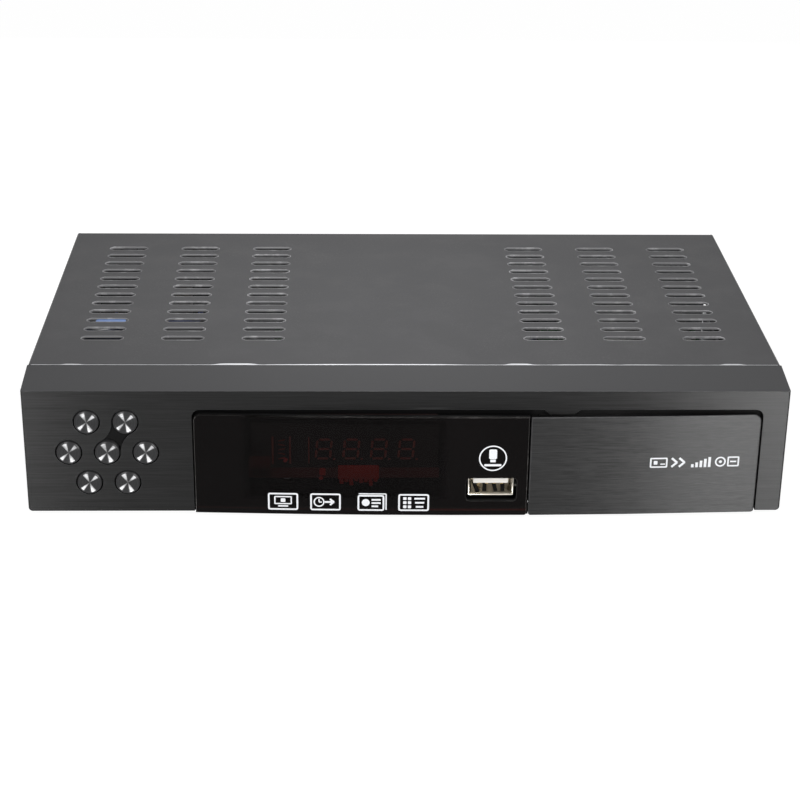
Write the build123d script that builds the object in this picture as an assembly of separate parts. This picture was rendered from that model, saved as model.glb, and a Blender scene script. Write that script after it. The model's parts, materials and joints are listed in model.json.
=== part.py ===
"""Satellite television receiver: a set-top box with round keys, a tinted window and a drop-down door.

X runs to the right seen from the front, Y runs to the back and Z runs up.
While a piece is made, Y = 0 is the flat face of the front panel and Z = 0 is the table.
Each piece is then moved along Y, so that the origin is the middle of the box that the receiver fills.
"""

import os
from math import cos, radians, sin, sqrt

from build123d import *

# ---------------------------------------------------------------- driving sizes, in millimetres

# Housing
body_width = 240.0
body_depth = 143.0
face_height = 41.8
back_height = 43.9
foot_height = 3.0

# Top cover, one folded sheet
cover_sheet = 0.8
cover_fold_radius = 1.2
cover_lip_height = 9.0
cover_lip_relief = 1.6
cover_gap = 0.3

# Top vents: groups of slots left and right of the middle
vent_columns = 3
vent_rows = 12
vent_side_inset = 21.1
vent_column_pitch = 26.3
vent_front_inset = 38.8
vent_rear_inset = 17.0
vent_length = 13.4
vent_width = 3.2
slot_corner_share = 0.32

# Tray and rear panel, folded sheet
tray_sheet = 1.0
tray_side_height = 13.0
tray_front_height = 8.0
tray_play = 0.1
rear_sheet = 1.0
rear_flange = 10.0
floor_slot_length = 16.0
floor_slot_width = 3.0
floor_slot_pitch = 10.0
floor_slots = 5

# Feet
foot_radius = 6.0
foot_side_inset = 22.0
foot_front_inset = 26.0
foot_rear_inset = 19.0

# Front panel moulding
panel_depth = 16.0
face_wall = 2.5
top_wall = 2.2
side_wall = 2.2
bottom_wall = 2.0
panel_corner_radius = 1.3
panel_edge_radius = 0.6
tongue_reach = 4.0
tongue_thickness = 1.4

# Snap hooks of the front panel, which catch in windows of the tray's upstand
hook_side_inset = 20.0
hook_usb_gap = 4.85
hook_width = 8.0
hook_thickness = 1.6
hook_lift = 3.0
hook_barb = 0.9
hook_play = 0.2

# Opening in the face for the window and the door
left_border = 52.7
right_border = 8.0
opening_height = 35.45
opening_corner_radius = 2.5

# Bowed front plates: how far the middle stands proud, and how far the ends of the opening lie behind it
bow_proud = 3.25
bow_sag = 2.31
plate_corner_radius = 2.5
plate_small_radius = 0.9
plate_edge_chamfer = 0.25

# Display window
window_side_gap = 0.4
window_height = 34.4
window_thickness = 1.6

# Card door and its hinge
door_width = 72.65
door_side_gap = 0.6
door_seam = 0.45
door_height = 34.25
door_thickness = 1.5
hinge_y = 2.0
hinge_height = 4.5
hinge_pin_radius = 0.75
hinge_play = 0.05
hinge_pin_length = 4.2
door_ear_radius = 1.6
door_ear_thickness = 2.0
door_ear_inset = 2.45
hinge_side_gap = 0.3
stop_lug_inset = 4.15
stop_lug_width = 11.4
stop_lug_height = 1.85
stop_lug_taper = 2.2
stop_pad_height = 2.4
stop_gap = 0.3

# Carrier behind the opening
carrier_margin = 3.3
carrier_wall = 1.8
carrier_gap = 0.1
rib_width = 1.5
rib_inset = 1.8
carrier_ear_radius = 1.3
carrier_ear_thickness = 1.7

# Card bay behind the door
bay_wall = 1.4
bay_side_inset = 4.3
bay_floor = 7.8
bay_top = 31.6
bay_front = 1.0
bay_depth = 11.8
card_width = 54.0
card_thickness = 0.8
card_slot_play = 0.6
card_slot_flare = 0.8
reader_side_wall = 3.0
reader_length = 56.0
reader_height = 6.0
reader_card_height = 3.2
contact_window = 18.0
shield_sheet = 0.4
shield_slots = 3
shield_slot_width = 9.0
shield_slot_length = 18.0

# Keys
key_cluster_inset = 25.9
key_cluster_height = 20.8
key_pitch = 12.05
key_well_radius = 4.25
key_cap_radius = 3.8
key_proud = 0.5
key_dish_depth = 0.25
key_flange_size = 9.4
key_flange_thickness = 1.0
key_flange_gap = 0.3
key_stem_size = 3.6
key_stem_length = 2.4
key_travel = 0.4
key_link_depth = 0.8
key_link_neck = 5.2
key_link_arc = 8.0

# Push switches behind the keys
switch_body = 6.0
switch_depth = 3.5
plunger_size = 2.6
plunger_out = 1.3
plunger_in = 1.9
plunger_play = 0.15
switch_bore_spare = 0.4

# Front board
front_board_side_gap = 3.5
front_board_usb_gap = 0.85
front_board_low = 6.6
front_board_high = 37.5
board_thickness = 1.6
front_post_size = 3.6
front_post_inset = 2.5
front_post_gap = 1.2
front_post_height = (8.6, 34.4)
carrier_post_inset = 3.5

# Display, infra-red eye and standby lamp, all seen through the window
display_left_inset = 21.4
display_board_spare = 9.5
display_low = 16.0
display_high = 30.0
display_depth = 5.6
display_rim = 1.0
display_rim_step = 0.5
display_aperture_margin = 1.5
eye_inset = 9.9
eye_height = 24.0
eye_size = 6.5
eye_depth = 3.5
eye_dome_size = 4.8
eye_dome_height = 1.8
eye_dome_chamfer = 1.1
lamp_inset = 7.5
lamp_height = 11.5
lamp_radius = 1.5
lamp_length = 4.0
lamp_base = 1.0
eye_aperture_radius = 4.2
lamp_aperture_radius = 2.2

# USB receptacle in the window
usb_inset = 11.45
usb_height = 9.2
usb_cutout_width = 16.1
usb_cutout_height = 8.0
usb_cutout_radius = 1.2
usb_mouth_y = 0.0
usb_width = 13.1
usb_thickness = 5.7
usb_wall = 0.3
usb_length = 14.0
usb_flare = 0.75
usb_flare_length = 1.0
usb_tongue_width = 11.1
usb_tongue_thickness = 1.9
usb_tongue_drop = 0.35
usb_board_width = 20.0
usb_board_front = 5.0
usb_board_end_gap = 0.2
usb_post_size = 3.0

# Boards lying in the tray
standoff_height = 6.0
standoff_radius = 3.0
main_side_gap = 6.0
main_front_gap = 4.8
main_rear_gap = 3.2
board_gap = 6.0
psu_width = 63.0
psu_side_gap = 5.0
psu_front_gap = 11.8
psu_rear_gap = 19.2
board_screw_inset = 5.0
board_screw_rear_gap = 30.0

# Parts on the main board
chip_size = 27.0
chip_height = 2.2
chip_share = 0.3625  # of the main board's width
memory_width = 12.0
memory_length = 10.0
memory_height = 1.2
memory_share = 0.15
memory_pitch = 16.0
sink_size = 36.0
sink_base = 2.5
sink_fin_height = 10.0
sink_fins = 7
sink_fin = 1.4
can_radius = 4.0
can_height = 12.0
can_inset = 12.0
can_lead = 6.0
can_pitch = 12.0
socket_depth = 6.0
socket_height = 7.0
ribbon_width = 22.0
ribbon_thickness = 0.7
ribbon_inset = 16.0
ribbon_front_gap = 15.0
ribbon_height = 22.5
ribbon_bend = 3.0
harness_width = 14.0
harness_front_gap = 34.0
harness_arch = 8.0

# Aerial tuner and its threaded jacks
tuner_width = 44.0
tuner_length = 53.2
tuner_height = 14.4
tuner_edge = 0.8
lnb_inset = 10.5
lnb_lift = 7.4
lnb_thread_radius = 4.76
lnb_shoulder_radius = 5.4
lnb_reach = 10.5
lnb_pin_hole_radius = 0.6
lnb_pin_hole_depth = 6.0
lnb_clearance = 0.25
rear_jack_groups = 4
nut_flats = 13.0
nut_thickness = 2.0
nut_play = 0.1

# Audio and video jacks
av_jacks = 3
av_pitch = 14.0
av_lift = 7.0
av_block_margin = 7.0
av_block_depth = 12.0
av_block_height = 12.9
av_shell_radius = 4.15
av_shell_wall = 0.6
av_reach = 9.0
av_core_radius = 3.5
av_hole_radius = 1.65
av_clearance = 0.35

# HDMI receptacle
hdmi_width = 15.0
hdmi_thickness = 5.6
hdmi_wall = 0.35
hdmi_taper = 2.0
hdmi_length = 12.0
hdmi_reach = 0.8
hdmi_tongue_width = 11.2
hdmi_tongue_thickness = 1.6
hdmi_clearance = 0.3

# Network jack
network_width = 16.0
network_height = 13.5
network_length = 21.5
network_reach = 1.0
network_wall = 1.2
network_hole_width = 11.8
network_hole_height = 8.0
network_hole_depth = 12.5
network_latch_width = 6.0
network_latch_height = 2.4
network_clearance = 0.3

# Power supply parts
transformer_inset = 33.0
transformer_width = 26.0
transformer_length = 22.0
transformer_height = 20.0
transformer_leg = 6.0
bulk_inset = 11.0
bulk_radius = 8.0
bulk_height = 26.0
psu_sink_inset = 31.0
psu_sink_gap = 22.0
psu_sink_width = 34.0
psu_sink_height = 22.0
psu_sink_thickness = 1.6
psu_sink_fins = 5
psu_sink_fin_depth = 5.0
psu_can_inset = 8.0

# Mains inlet for a two-pole lead
inlet_inset = 15.0
inlet_height = 19.0
inlet_bezel_width = 25.0
inlet_bezel_height = 15.0
inlet_bezel = 1.6
inlet_bezel_chamfer = 0.8
inlet_body_width = 21.0
inlet_body_height = 11.4
inlet_body_depth = 16.0
inlet_pole_radius = 4.3
inlet_pole_pitch = 8.6
inlet_waist = 6.45
inlet_recess_depth = 12.0
inlet_pin_radius = 1.18
inlet_pin_length = 9.6
inlet_tab_length = 4.0
inlet_clearance = 0.2

# Rear power switch
rocker_inset = 45.0
rocker_height = 19.0
rocker_bezel_width = 15.0
rocker_bezel_height = 21.0
rocker_bezel = 1.8
rocker_bezel_chamfer = 0.7
rocker_body_width = 12.8
rocker_body_height = 18.8
rocker_body_depth = 14.0
rocker_well_width = 11.0
rocker_well_height = 16.6
rocker_well_depth = 8.0
rocker_tilt = 11.0
rocker_side_gap = 0.3
rocker_end_gap = 0.35
rocker_thickness = 4.6
rocker_dish = 0.8
rocker_face_share = 0.93  # of the rocker's half height
rocker_root_share = 0.8
rocker_trunnion_radius = 1.2
rocker_trunnion_play = 0.05
rocker_trunnion_length = 1.2
rocker_pivot_depth = 2.6
wire_radius = 1.1
wire_bend = 4.0
wire_run = 6.0

# Screws
screw_radius = 1.4
screw_head_radius = 2.7
screw_head_height = 1.6
screw_hole_radius = 1.55
cover_screw_left_inset = 24.0
cover_screw_right_inset = 12.0
cover_screw_drop = 4.8
screw_length = 6.0

overrun = 1.0  # how far a cutting solid runs past what it cuts

# ---------------------------------------------------------------- places worked out from the sizes

# Housing
half_width = body_width / 2
floor_z = foot_height
top_z = foot_height + back_height
face_top_z = foot_height + face_height
cover_front_y = panel_depth + cover_gap
rear_outer_y = body_depth - cover_sheet
rear_inner_y = rear_outer_y - rear_sheet
vent_first_column = half_width - vent_side_inset
vent_row_pitch = (body_depth - vent_front_inset - vent_rear_inset) / (vent_rows - 1)
cover_screw_x = (cover_screw_left_inset - half_width, 0.0, half_width - cover_screw_right_inset)
tray_top_z = floor_z + tray_sheet
tray_half = half_width - cover_sheet - tray_play
tray_front_y = panel_depth + 2 * tray_play

# Opening, window and door
opening_left = left_border - half_width
opening_right = half_width - right_border
opening_top_z = floor_z + opening_height
bow_middle_x = (opening_left + opening_right) / 2
bow_radius = ((opening_right - bow_middle_x) ** 2 + bow_sag**2) / (2 * bow_sag)
door_right = opening_right - door_side_gap
door_left = door_right - door_width
door_top_z = floor_z + door_height
window_left = opening_left + window_side_gap
window_right = door_left - door_seam
window_top_z = floor_z + window_height
stop_lug_left = door_left + stop_lug_inset
stop_lug_right = stop_lug_left + stop_lug_width
hinge_z = floor_z + hinge_height
carrier_left = opening_left - carrier_margin
carrier_right = opening_right + carrier_margin
carrier_back_y = face_wall + carrier_wall

# Front board and what it carries
key_cluster_x = key_cluster_inset - half_width
key_flange_y = face_wall + key_flange_gap
plunger_y = key_flange_y + key_flange_thickness + key_stem_length
switch_y = plunger_y + plunger_out
usb_x = window_right - usb_inset
usb_z = floor_z + usb_height
usb_board_z = usb_z - usb_thickness / 2 - board_thickness
front_board_y = switch_y + switch_depth
front_board_back_y = front_board_y + board_thickness
front_board_left = front_board_side_gap - half_width
front_board_right = usb_x - usb_board_width / 2 - front_board_usb_gap
front_post_x = (front_board_left + front_post_inset, carrier_left - front_post_gap - front_post_size / 2)
carrier_post_x = front_board_right - carrier_post_inset
display_left = window_left + display_left_inset
display_right = front_board_right - display_board_spare
eye_x = window_left + eye_inset
lamp_x = display_left + lamp_inset
hook_first_x = hook_side_inset - half_width
hook_last_x = usb_x - usb_board_width / 2 - hook_usb_gap - hook_width / 2
hook_x = (hook_first_x, (hook_first_x + hook_last_x) / 2, hook_last_x)

# Boards in the tray
board_z = tray_top_z + standoff_height
board_top_z = board_z + board_thickness
psu_left = psu_side_gap - half_width
psu_right = psu_left + psu_width
psu_front = tray_front_y + psu_front_gap
psu_rear = rear_inner_y - psu_rear_gap
main_left = psu_right + board_gap
main_right = half_width - main_side_gap
main_front = tray_front_y + main_front_gap
main_rear = rear_inner_y - main_rear_gap
main_middle_y = (main_front + main_rear) / 2

# Card bay and reader
bay_left = door_left + bay_side_inset
bay_right = door_right - bay_side_inset
bay_floor_z = floor_z + bay_floor
bay_top_z = floor_z + bay_top
card_z = board_top_z + reader_card_height
card_x = (bay_left + bay_right) / 2
reader_width = card_width + 2 * reader_side_wall
reader_front_y = bay_depth + bay_wall + carrier_gap

# Rear connectors, spread evenly along the rear edge of the main board
av_block_width = (av_jacks - 1) * av_pitch + 2 * av_block_margin
jack_widths = av_block_width + hdmi_width + network_width + tuner_width
jack_gap = (main_right - main_left - jack_widths) / (rear_jack_groups + 1)
av_block_left = main_left + jack_gap
av_x = [av_block_left + av_block_margin + i * av_pitch for i in range(av_jacks)]
hdmi_x = av_block_left + av_block_width + jack_gap + hdmi_width / 2
network_x = hdmi_x + hdmi_width / 2 + jack_gap + network_width / 2
tuner_left = network_x + network_width / 2 + jack_gap
tuner_right = tuner_left + tuner_width
tuner_front = rear_inner_y - tuner_length
lnb_x = (tuner_left + lnb_inset, tuner_right - lnb_inset)

# Parts on the boards
chip_x = main_left + chip_share * (main_right - main_left)
chip_y = main_middle_y
memory_x = main_left + memory_share * (main_right - main_left)
memory_y = (chip_y - memory_pitch / 2, chip_y + memory_pitch / 2)
can_middle_x = (chip_x + sink_size / 2 + tuner_left) / 2
can_places = [(x, chip_y + can_lead + can_pitch) for x in (main_left + can_inset, can_middle_x)]
can_places.append((can_middle_x, chip_y + can_lead))
ribbon_x = main_left + ribbon_inset
ribbon_low_y = main_front + ribbon_front_gap
ribbon_z = floor_z + ribbon_height
harness_y = psu_front + harness_front_gap
transformer_x = psu_left + transformer_inset
transformer_y = (psu_front + psu_rear) / 2
bulk_x = psu_left + bulk_inset
psu_sink_x = psu_left + psu_sink_inset
psu_sink_y = transformer_y - psu_sink_gap
psu_can_x = psu_right - psu_can_inset
psu_can_places = [(psu_can_x, psu_rear - can_pitch * (0.5 + i)) for i in (1, 2)]
main_screw_places = (
    (main_left + board_screw_inset, main_front + board_screw_inset),
    (card_x - reader_width / 2 - board_screw_inset, main_front + board_screw_inset),
    (main_left + board_screw_inset, main_rear - board_screw_rear_gap),
    (main_right - board_screw_inset, main_middle_y),
)
psu_screw_places = (
    (psu_left + board_screw_inset, psu_front + board_screw_inset),
    (psu_right - board_screw_inset, psu_front + board_screw_inset),
    (psu_left + board_screw_inset, psu_rear - board_screw_inset),
)

# Heights of the connectors, and the mains parts
lnb_z = board_top_z + lnb_lift
av_z = board_top_z + av_lift
hdmi_z = board_top_z + hdmi_thickness / 2
network_z = board_top_z + network_height / 2
inlet_x = psu_left + inlet_inset
inlet_z = floor_z + inlet_height
rocker_x = psu_left + rocker_inset
rocker_z = floor_z + rocker_height
rocker_pivot_y = rear_outer_y + rocker_bezel - rocker_pivot_depth

# The middle of the box that the receiver fills
rear_most_y = rear_outer_y + lnb_reach
middle_y = (rear_most_y - bow_proud) / 2

key_names = ("centre", "right", "top_right", "top_left", "left", "bottom_left", "bottom_right")


def key_place(index):
    """The middle of one key: the first in the middle, the rest on a hexagon round it."""
    centre = (key_cluster_x, floor_z + key_cluster_height)
    if index == 0:
        return centre
    angle = radians(60 * (index - 1))
    return (centre[0] + key_pitch * cos(angle), centre[1] + key_pitch * sin(angle))


# ---------------------------------------------------------------- shapes used by many pieces


def block(x0, x1, y0, y1, z0, z1):
    """A box from its lowest to its highest corner."""
    return Pos((x0 + x1) / 2, (y0 + y1) / 2, (z0 + z1) / 2) * Box(x1 - x0, y1 - y0, z1 - z0)


def centred_block(x, width, y0, y1, z, height):
    """A box that is centred on x and z."""
    return block(x - width / 2, x + width / 2, y0, y1, z - height / 2, z + height / 2)


def slab(x, y, width, length, z, height):
    """A box that stands on z and is centred on x and y."""
    return Pos(x, y, z + height / 2) * Box(width, length, height)


def rod_x(x0, x1, y, z, radius):
    """A round bar along X."""
    return Pos((x0 + x1) / 2, y, z) * Rot(0, 90, 0) * Cylinder(radius, x1 - x0)


def rod_y(x, y0, y1, z, radius):
    """A round bar along Y."""
    return Pos(x, (y0 + y1) / 2, z) * Rot(90, 0, 0) * Cylinder(radius, y1 - y0)


def rod_z(x, y, z0, z1, radius):
    """A round bar along Z."""
    return Pos(x, y, (z0 + z1) / 2) * Cylinder(radius, z1 - z0)


def along_x(side_view, x0, x1):
    """A side view, drawn in Y and Z, drawn out from x0 to x1."""
    return extrude(Plane.YZ.offset(x0) * side_view, x1 - x0)


def along_y(front_view, y0, y1):
    """A front view, drawn in X and Z, drawn out from y0 to y1."""
    return extrude(Plane.XZ.offset(-y1) * front_view, y1 - y0)


def along_z(plan, z0, z1):
    """A plan, drawn in X and Y, drawn out from z0 to z1."""
    return extrude(Plane.XY.offset(z0) * plan, z1 - z0)


def outline(*points):
    """A flat face with straight sides."""
    return make_face(Polyline(*points, close=True))


def bow_y(x, depth=0.0):
    """The Y of the bowed front at x, or of the surface that lies depth behind it."""
    radius = bow_radius - depth
    return bow_radius - bow_proud - sqrt(radius**2 - (x - bow_middle_x) ** 2)


def bow_arc(x0, x1, depth):
    """The bowed line from x0 to x1 that lies depth behind the front."""
    middle = (x0 + x1) / 2
    return ThreePointArc(*[(x, bow_y(x, depth)) for x in (x0, middle, x1)])


def bowed_slab(x0, x1, front_depth, back_y, z0, z1):
    """A slab with a bowed front and a flat back."""
    front = bow_arc(x0, x1, front_depth)
    back = Polyline(front @ 1, (x1, back_y), (x0, back_y), front @ 0)
    return along_z(make_face(front + back), z0, z1)


def bowed_plate(x0, x1, thickness, z0, z1):
    """A thin plate that follows the bow on both sides."""
    front = bow_arc(x0, x1, 0)
    back = bow_arc(x0, x1, thickness)
    sides = [Line(front @ 0, back @ 0), Line(front @ 1, back @ 1)]
    return along_z(make_face([front, back] + sides), z0, z1)


def cross_edges(shape):
    """The short edges of a bowed plate that run from its front to its back."""
    return shape.edges().filter_by(Axis.Z, reverse=True).filter_by(lambda e: e.length < 2 * window_thickness)


def pan_screw(x, y, z, direction):
    """A screw with a thread-forming, six-lobed shank: (x, y, z) is under its head."""
    head = Cylinder(screw_head_radius, screw_head_height, align=(Align.CENTER, Align.CENTER, Align.MIN))
    shank = extrude(RegularPolygon(screw_radius, 6), -screw_length)
    return Plane(origin=(x, y, z), z_dir=direction) * (head + shank)


def finned(count, thickness, span):
    """The middles of count fins of one thickness, spread evenly over a span."""
    step = (span - thickness) / (count - 1)
    return [-span / 2 + thickness / 2 + step * i for i in range(count)]


# ---------------------------------------------------------------- housing


def top_cover():
    """The folded steel cover: top, two sides and a lip at the rear."""
    shell = block(-half_width, half_width, cover_front_y, body_depth, floor_z, top_z)
    shell = fillet(shell.edges().filter_by(Axis.Y).group_by(Axis.Z)[-1], cover_fold_radius)
    inner_half = half_width - cover_sheet
    inner_top = top_z - cover_sheet
    low = floor_z - overrun
    cavity = block(-inner_half, inner_half, cover_front_y - overrun, rear_outer_y, low, inner_top)
    inner_radius = cover_fold_radius - cover_sheet
    cavity = fillet(cavity.edges().filter_by(Axis.Y).group_by(Axis.Z)[-1], inner_radius)
    lip_z = top_z - cover_lip_height
    shell -= cavity
    y1 = body_depth + overrun
    shell -= block(-inner_half, inner_half, rear_outer_y - overrun, y1, low, lip_z)
    relief_height = 2 * (cover_lip_height - cover_sheet)
    for side in (-1, 1):
        relief_x = side * (inner_half - cover_lip_relief / 2)
        shell -= centred_block(relief_x, cover_lip_relief, rear_outer_y, y1, lip_z, relief_height)
    shell -= vent_slots()
    for x in cover_screw_x:
        shell -= rod_y(x, rear_outer_y - overrun, y1, top_z - cover_screw_drop, screw_hole_radius)
    return shell


def vent_slots():
    """The cutters of the top vents."""
    slots = Sketch()
    for side in (-1, 1):
        for column in range(vent_columns):
            for row in range(vent_rows):
                x = side * (vent_first_column - column * vent_column_pitch)
                y = vent_front_inset + row * vent_row_pitch
                slots += Pos(x, y) * slot_view(vent_length, vent_width)
    return along_z(slots, top_z - cover_sheet - overrun, top_z + overrun)


def slot_view(length, width):
    """A slot along X whose corners are cut away at each end."""
    end = length / 2
    side = width / 2
    cut = width * slot_corner_share
    corner = [(end - cut, side), (end, side - cut), (end, cut - side), (end - cut, -side)]
    return outline(*corner, *[(-x, -y) for x, y in corner])


def chassis():
    """The steel tray with its sides, its front upstand, the standoffs under the boards and floor slots."""
    tray = block(-tray_half, tray_half, tray_front_y, rear_inner_y, floor_z, floor_z + tray_side_height)
    inner = tray_half - tray_sheet
    hollow = block(-inner, inner, tray_front_y + tray_sheet, rear_inner_y + overrun, tray_top_z, top_z)
    tray -= hollow
    upstand_top = floor_z + tray_front_height
    tray -= block(-inner, inner, tray_front_y - overrun, tray_front_y + 2 * tray_sheet, upstand_top, top_z)
    for x, y in main_screw_places + psu_screw_places:
        pillar = Pos(x, y) * RegularPolygon(standoff_radius, 6)
        tray += along_z(pillar, tray_top_z - tray_sheet / 2, board_z)
        tray -= rod_z(x, y, board_top_z - screw_length - overrun, board_z + overrun, screw_hole_radius)
    window_low = floor_z + hook_lift - hook_play
    window_high = floor_z + hook_lift + hook_thickness + hook_barb + hook_play
    for x in hook_x:
        half = hook_width / 2 + hook_play
        tray -= block(
            x - half, x + half, tray_front_y - overrun, tray_front_y + 2 * tray_sheet, window_low, window_high
        )
    tray -= floor_slot_cutters()
    return tray


def floor_slot_cutters():
    """The cutters of the air slots in the floor, under the middle of each board."""
    slots = Sketch()
    for x in ((main_left + main_right) / 2, (psu_left + psu_right) / 2):
        for i in range(floor_slots):
            y = body_depth / 2 + (i - (floor_slots - 1) / 2) * floor_slot_pitch
            slots += Pos(x, y) * slot_view(floor_slot_length, floor_slot_width)
    return along_z(slots, floor_z - overrun, tray_top_z + overrun)


def foot_places():
    """The middles of the four feet."""
    x = half_width - foot_side_inset
    return [(side * x, y) for y in (foot_front_inset, body_depth - foot_rear_inset) for side in (-1, 1)]


def feet():
    """Four round rubber feet, stuck under the tray."""
    return [rod_z(x, y, 0, foot_height, foot_radius) for x, y in foot_places()]


def rear_panel():
    """The steel plate at the back, with a hole for each jack and a flange on the tray's floor."""
    half = tray_half - tray_sheet - tray_play
    plate = block(-half, half, rear_inner_y, rear_outer_y, tray_top_z, top_z - cover_sheet)
    plate += block(-half, half, rear_inner_y - rear_flange, rear_outer_y, tray_top_z, tray_top_z + rear_sheet)
    y0 = rear_inner_y - overrun
    y1 = rear_outer_y + overrun
    for x in lnb_x:
        plate -= rod_y(x, y0, y1, lnb_z, lnb_shoulder_radius + lnb_clearance)
    for x in av_x:
        plate -= rod_y(x, y0, y1, av_z, av_core_radius + av_clearance)
    for x in cover_screw_x:
        plate -= rod_y(x, y0, y1, top_z - cover_screw_drop, screw_hole_radius)
    cut_width = hdmi_width + 2 * hdmi_clearance
    plate -= centred_block(hdmi_x, cut_width, y0, y1, hdmi_z, hdmi_thickness + 2 * hdmi_clearance)
    cut_width = network_width + 2 * network_clearance
    plate -= centred_block(network_x, cut_width, y0, y1, network_z, network_height + 2 * network_clearance)
    cut_width = inlet_body_width + 2 * inlet_clearance
    plate -= centred_block(inlet_x, cut_width, y0, y1, inlet_z, inlet_body_height + 2 * inlet_clearance)
    cut_width = rocker_body_width + 2 * inlet_clearance
    plate -= centred_block(rocker_x, cut_width, y0, y1, rocker_z, rocker_body_height + 2 * inlet_clearance)
    return plate


# ---------------------------------------------------------------- front


def front_panel():
    """The moulded front: a face with key wells and a wide opening, a rising top, sides and a floor."""
    side_view = outline((0, floor_z), (0, face_top_z), (panel_depth, top_z), (panel_depth, floor_z))
    shell = along_x(side_view, -half_width, half_width)
    shell = fillet(shell.edges().filter_by(Axis.Y).group_by(Axis.Z)[0], panel_corner_radius)
    shell = fillet(shell.edges().filter_by(Axis.Z).group_by(Axis.Y)[0], panel_edge_radius)
    inside = outline(
        (face_wall, floor_z + bottom_wall),
        (face_wall, face_top_z - top_wall),
        (panel_depth, top_z - top_wall),
        (panel_depth + overrun, top_z - top_wall),
        (panel_depth + overrun, floor_z + bottom_wall),
    )
    shell -= along_x(inside, -half_width + side_wall, half_width - side_wall)
    shell += panel_tongue()
    shell -= panel_opening()
    shell += stop_lug()
    shell -= key_cutters()
    shell += panel_posts()
    return shell + panel_hooks()


def panel_hooks():
    """The barbed tongues that rise from the panel's floor and reach back through the tray's upstand."""
    low = floor_z + hook_lift
    high = low + hook_thickness
    catch = tray_front_y + tray_sheet + hook_play
    end = catch + 2 * hook_barb
    root = panel_depth - 2 * side_wall
    side_view = outline(
        (root, floor_z + bottom_wall / 2),
        (root + hook_thickness, floor_z + bottom_wall / 2),
        (root + hook_thickness, low),
        (end, low),
        (end, high),
        (catch, high + hook_barb),
        (catch, high),
        (root, high),
    )
    hooks = [along_x(side_view, x - hook_width / 2, x + hook_width / 2) for x in hook_x]
    return Part() + hooks


def panel_tongue():
    """The strip that reaches back under the cover's front edge."""
    top = top_z - cover_sheet - tray_play
    half = half_width - 2 * side_wall
    return block(-half, half, panel_depth - top_wall, panel_depth + tongue_reach, top - tongue_thickness, top)


def panel_opening():
    """The cutter of the window and door opening, which runs out through the panel's lower edge."""
    low = floor_z - overrun
    middle_x = (opening_left + opening_right) / 2
    middle_z = (low + opening_top_z) / 2
    view = Pos(middle_x, middle_z) * Rectangle(opening_right - opening_left, opening_top_z - low)
    view = fillet(view.vertices().group_by(Axis.Y)[-1], opening_corner_radius)
    cutter = along_y(view, -overrun, face_wall + overrun)
    sweep_y = hinge_y + hinge_height + 2 * stop_gap
    return cutter + block(window_right, opening_right, -overrun, sweep_y, low, floor_z + bottom_wall)


def stop_lug():
    """The lug that hangs from the opening's top edge behind the door."""
    top = opening_top_z + overrun
    low = opening_top_z - stop_lug_height
    view = outline(
        (stop_lug_left, top),
        (stop_lug_left, opening_top_z),
        (stop_lug_left + stop_lug_taper, low),
        (stop_lug_right - stop_lug_taper, low),
        (stop_lug_right, opening_top_z),
        (stop_lug_right, top),
    )
    view = fillet(view.vertices().group_by(Axis.Y)[0], plate_small_radius)
    return along_y(view, 0, face_wall)


def key_cutters():
    """The cutters of the key wells and of the shallow recess that joins two of them."""
    wells = Part()
    for index in range(len(key_names)):
        x, z = key_place(index)
        wells += rod_y(x, -overrun, face_wall + overrun, z, key_well_radius)
    return wells + key_link()


def key_link():
    """The cutter of the recess between the middle well and the top right one: a neck with hollow sides."""
    x0, z0 = key_place(0)
    x1, z1 = key_place(2)
    neck_half = key_link_neck / 2
    arc_middle = neck_half + key_link_arc
    touch = key_well_radius / (key_well_radius + key_link_arc)
    near = touch * key_pitch / 2
    far = key_pitch - near
    side = touch * arc_middle
    strip = make_face(
        [
            ThreePointArc((near, side), (key_pitch / 2, neck_half), (far, side)),
            Line((far, side), (far, -side)),
            ThreePointArc((far, -side), (key_pitch / 2, -neck_half), (near, -side)),
            Line((near, -side), (near, side)),
        ]
    )
    strip = Pos(x0, z0) * Rot(0, 0, 60) * strip
    discs = [Pos(x, z) * Circle(key_well_radius) for x, z in ((x0, z0), (x1, z1))]
    return along_y(strip + discs, -overrun, key_link_depth)


def panel_posts():
    """The posts that carry the front board and the USB board."""
    posts = Part()
    size = front_post_size
    for x in front_post_x:
        for height in front_post_height:
            posts += centred_block(x, size, face_wall / 2, front_board_y, floor_z + height, size)
    for x in usb_post_x():
        y0 = (panel_depth - usb_post_size) / 2
        half = usb_post_size / 2
        posts += block(x - half, x + half, y0, y0 + usb_post_size, floor_z + bottom_wall / 2, usb_board_z)
    return posts


def usb_post_x():
    """The two posts under the USB board."""
    reach = (usb_board_width - usb_post_size) / 2
    return (usb_x - reach, usb_x + reach)


def display_window():
    """The tinted window: a bowed plate with a cut-out for the USB receptacle."""
    plate = bowed_plate(window_left, window_right, window_thickness, floor_z, window_top_z)
    corners = cross_edges(plate).sort_by(Axis.Z)
    upper_left = corners[-2:].sort_by(Axis.X)[0]
    plate = fillet(upper_left, plate_corner_radius)
    lower_right = cross_edges(plate).sort_by(Axis.Z)[:2].sort_by(Axis.X)[-1]
    plate = fillet(lower_right, plate_small_radius)
    plate = chamfer(plate.faces().sort_by(Axis.Y)[0].edges(), plate_edge_chamfer)
    hole = RectangleRounded(usb_cutout_width, usb_cutout_height, usb_cutout_radius)
    return plate - along_y(Pos(usb_x, usb_z) * hole, -bow_proud - overrun, face_wall)


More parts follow.
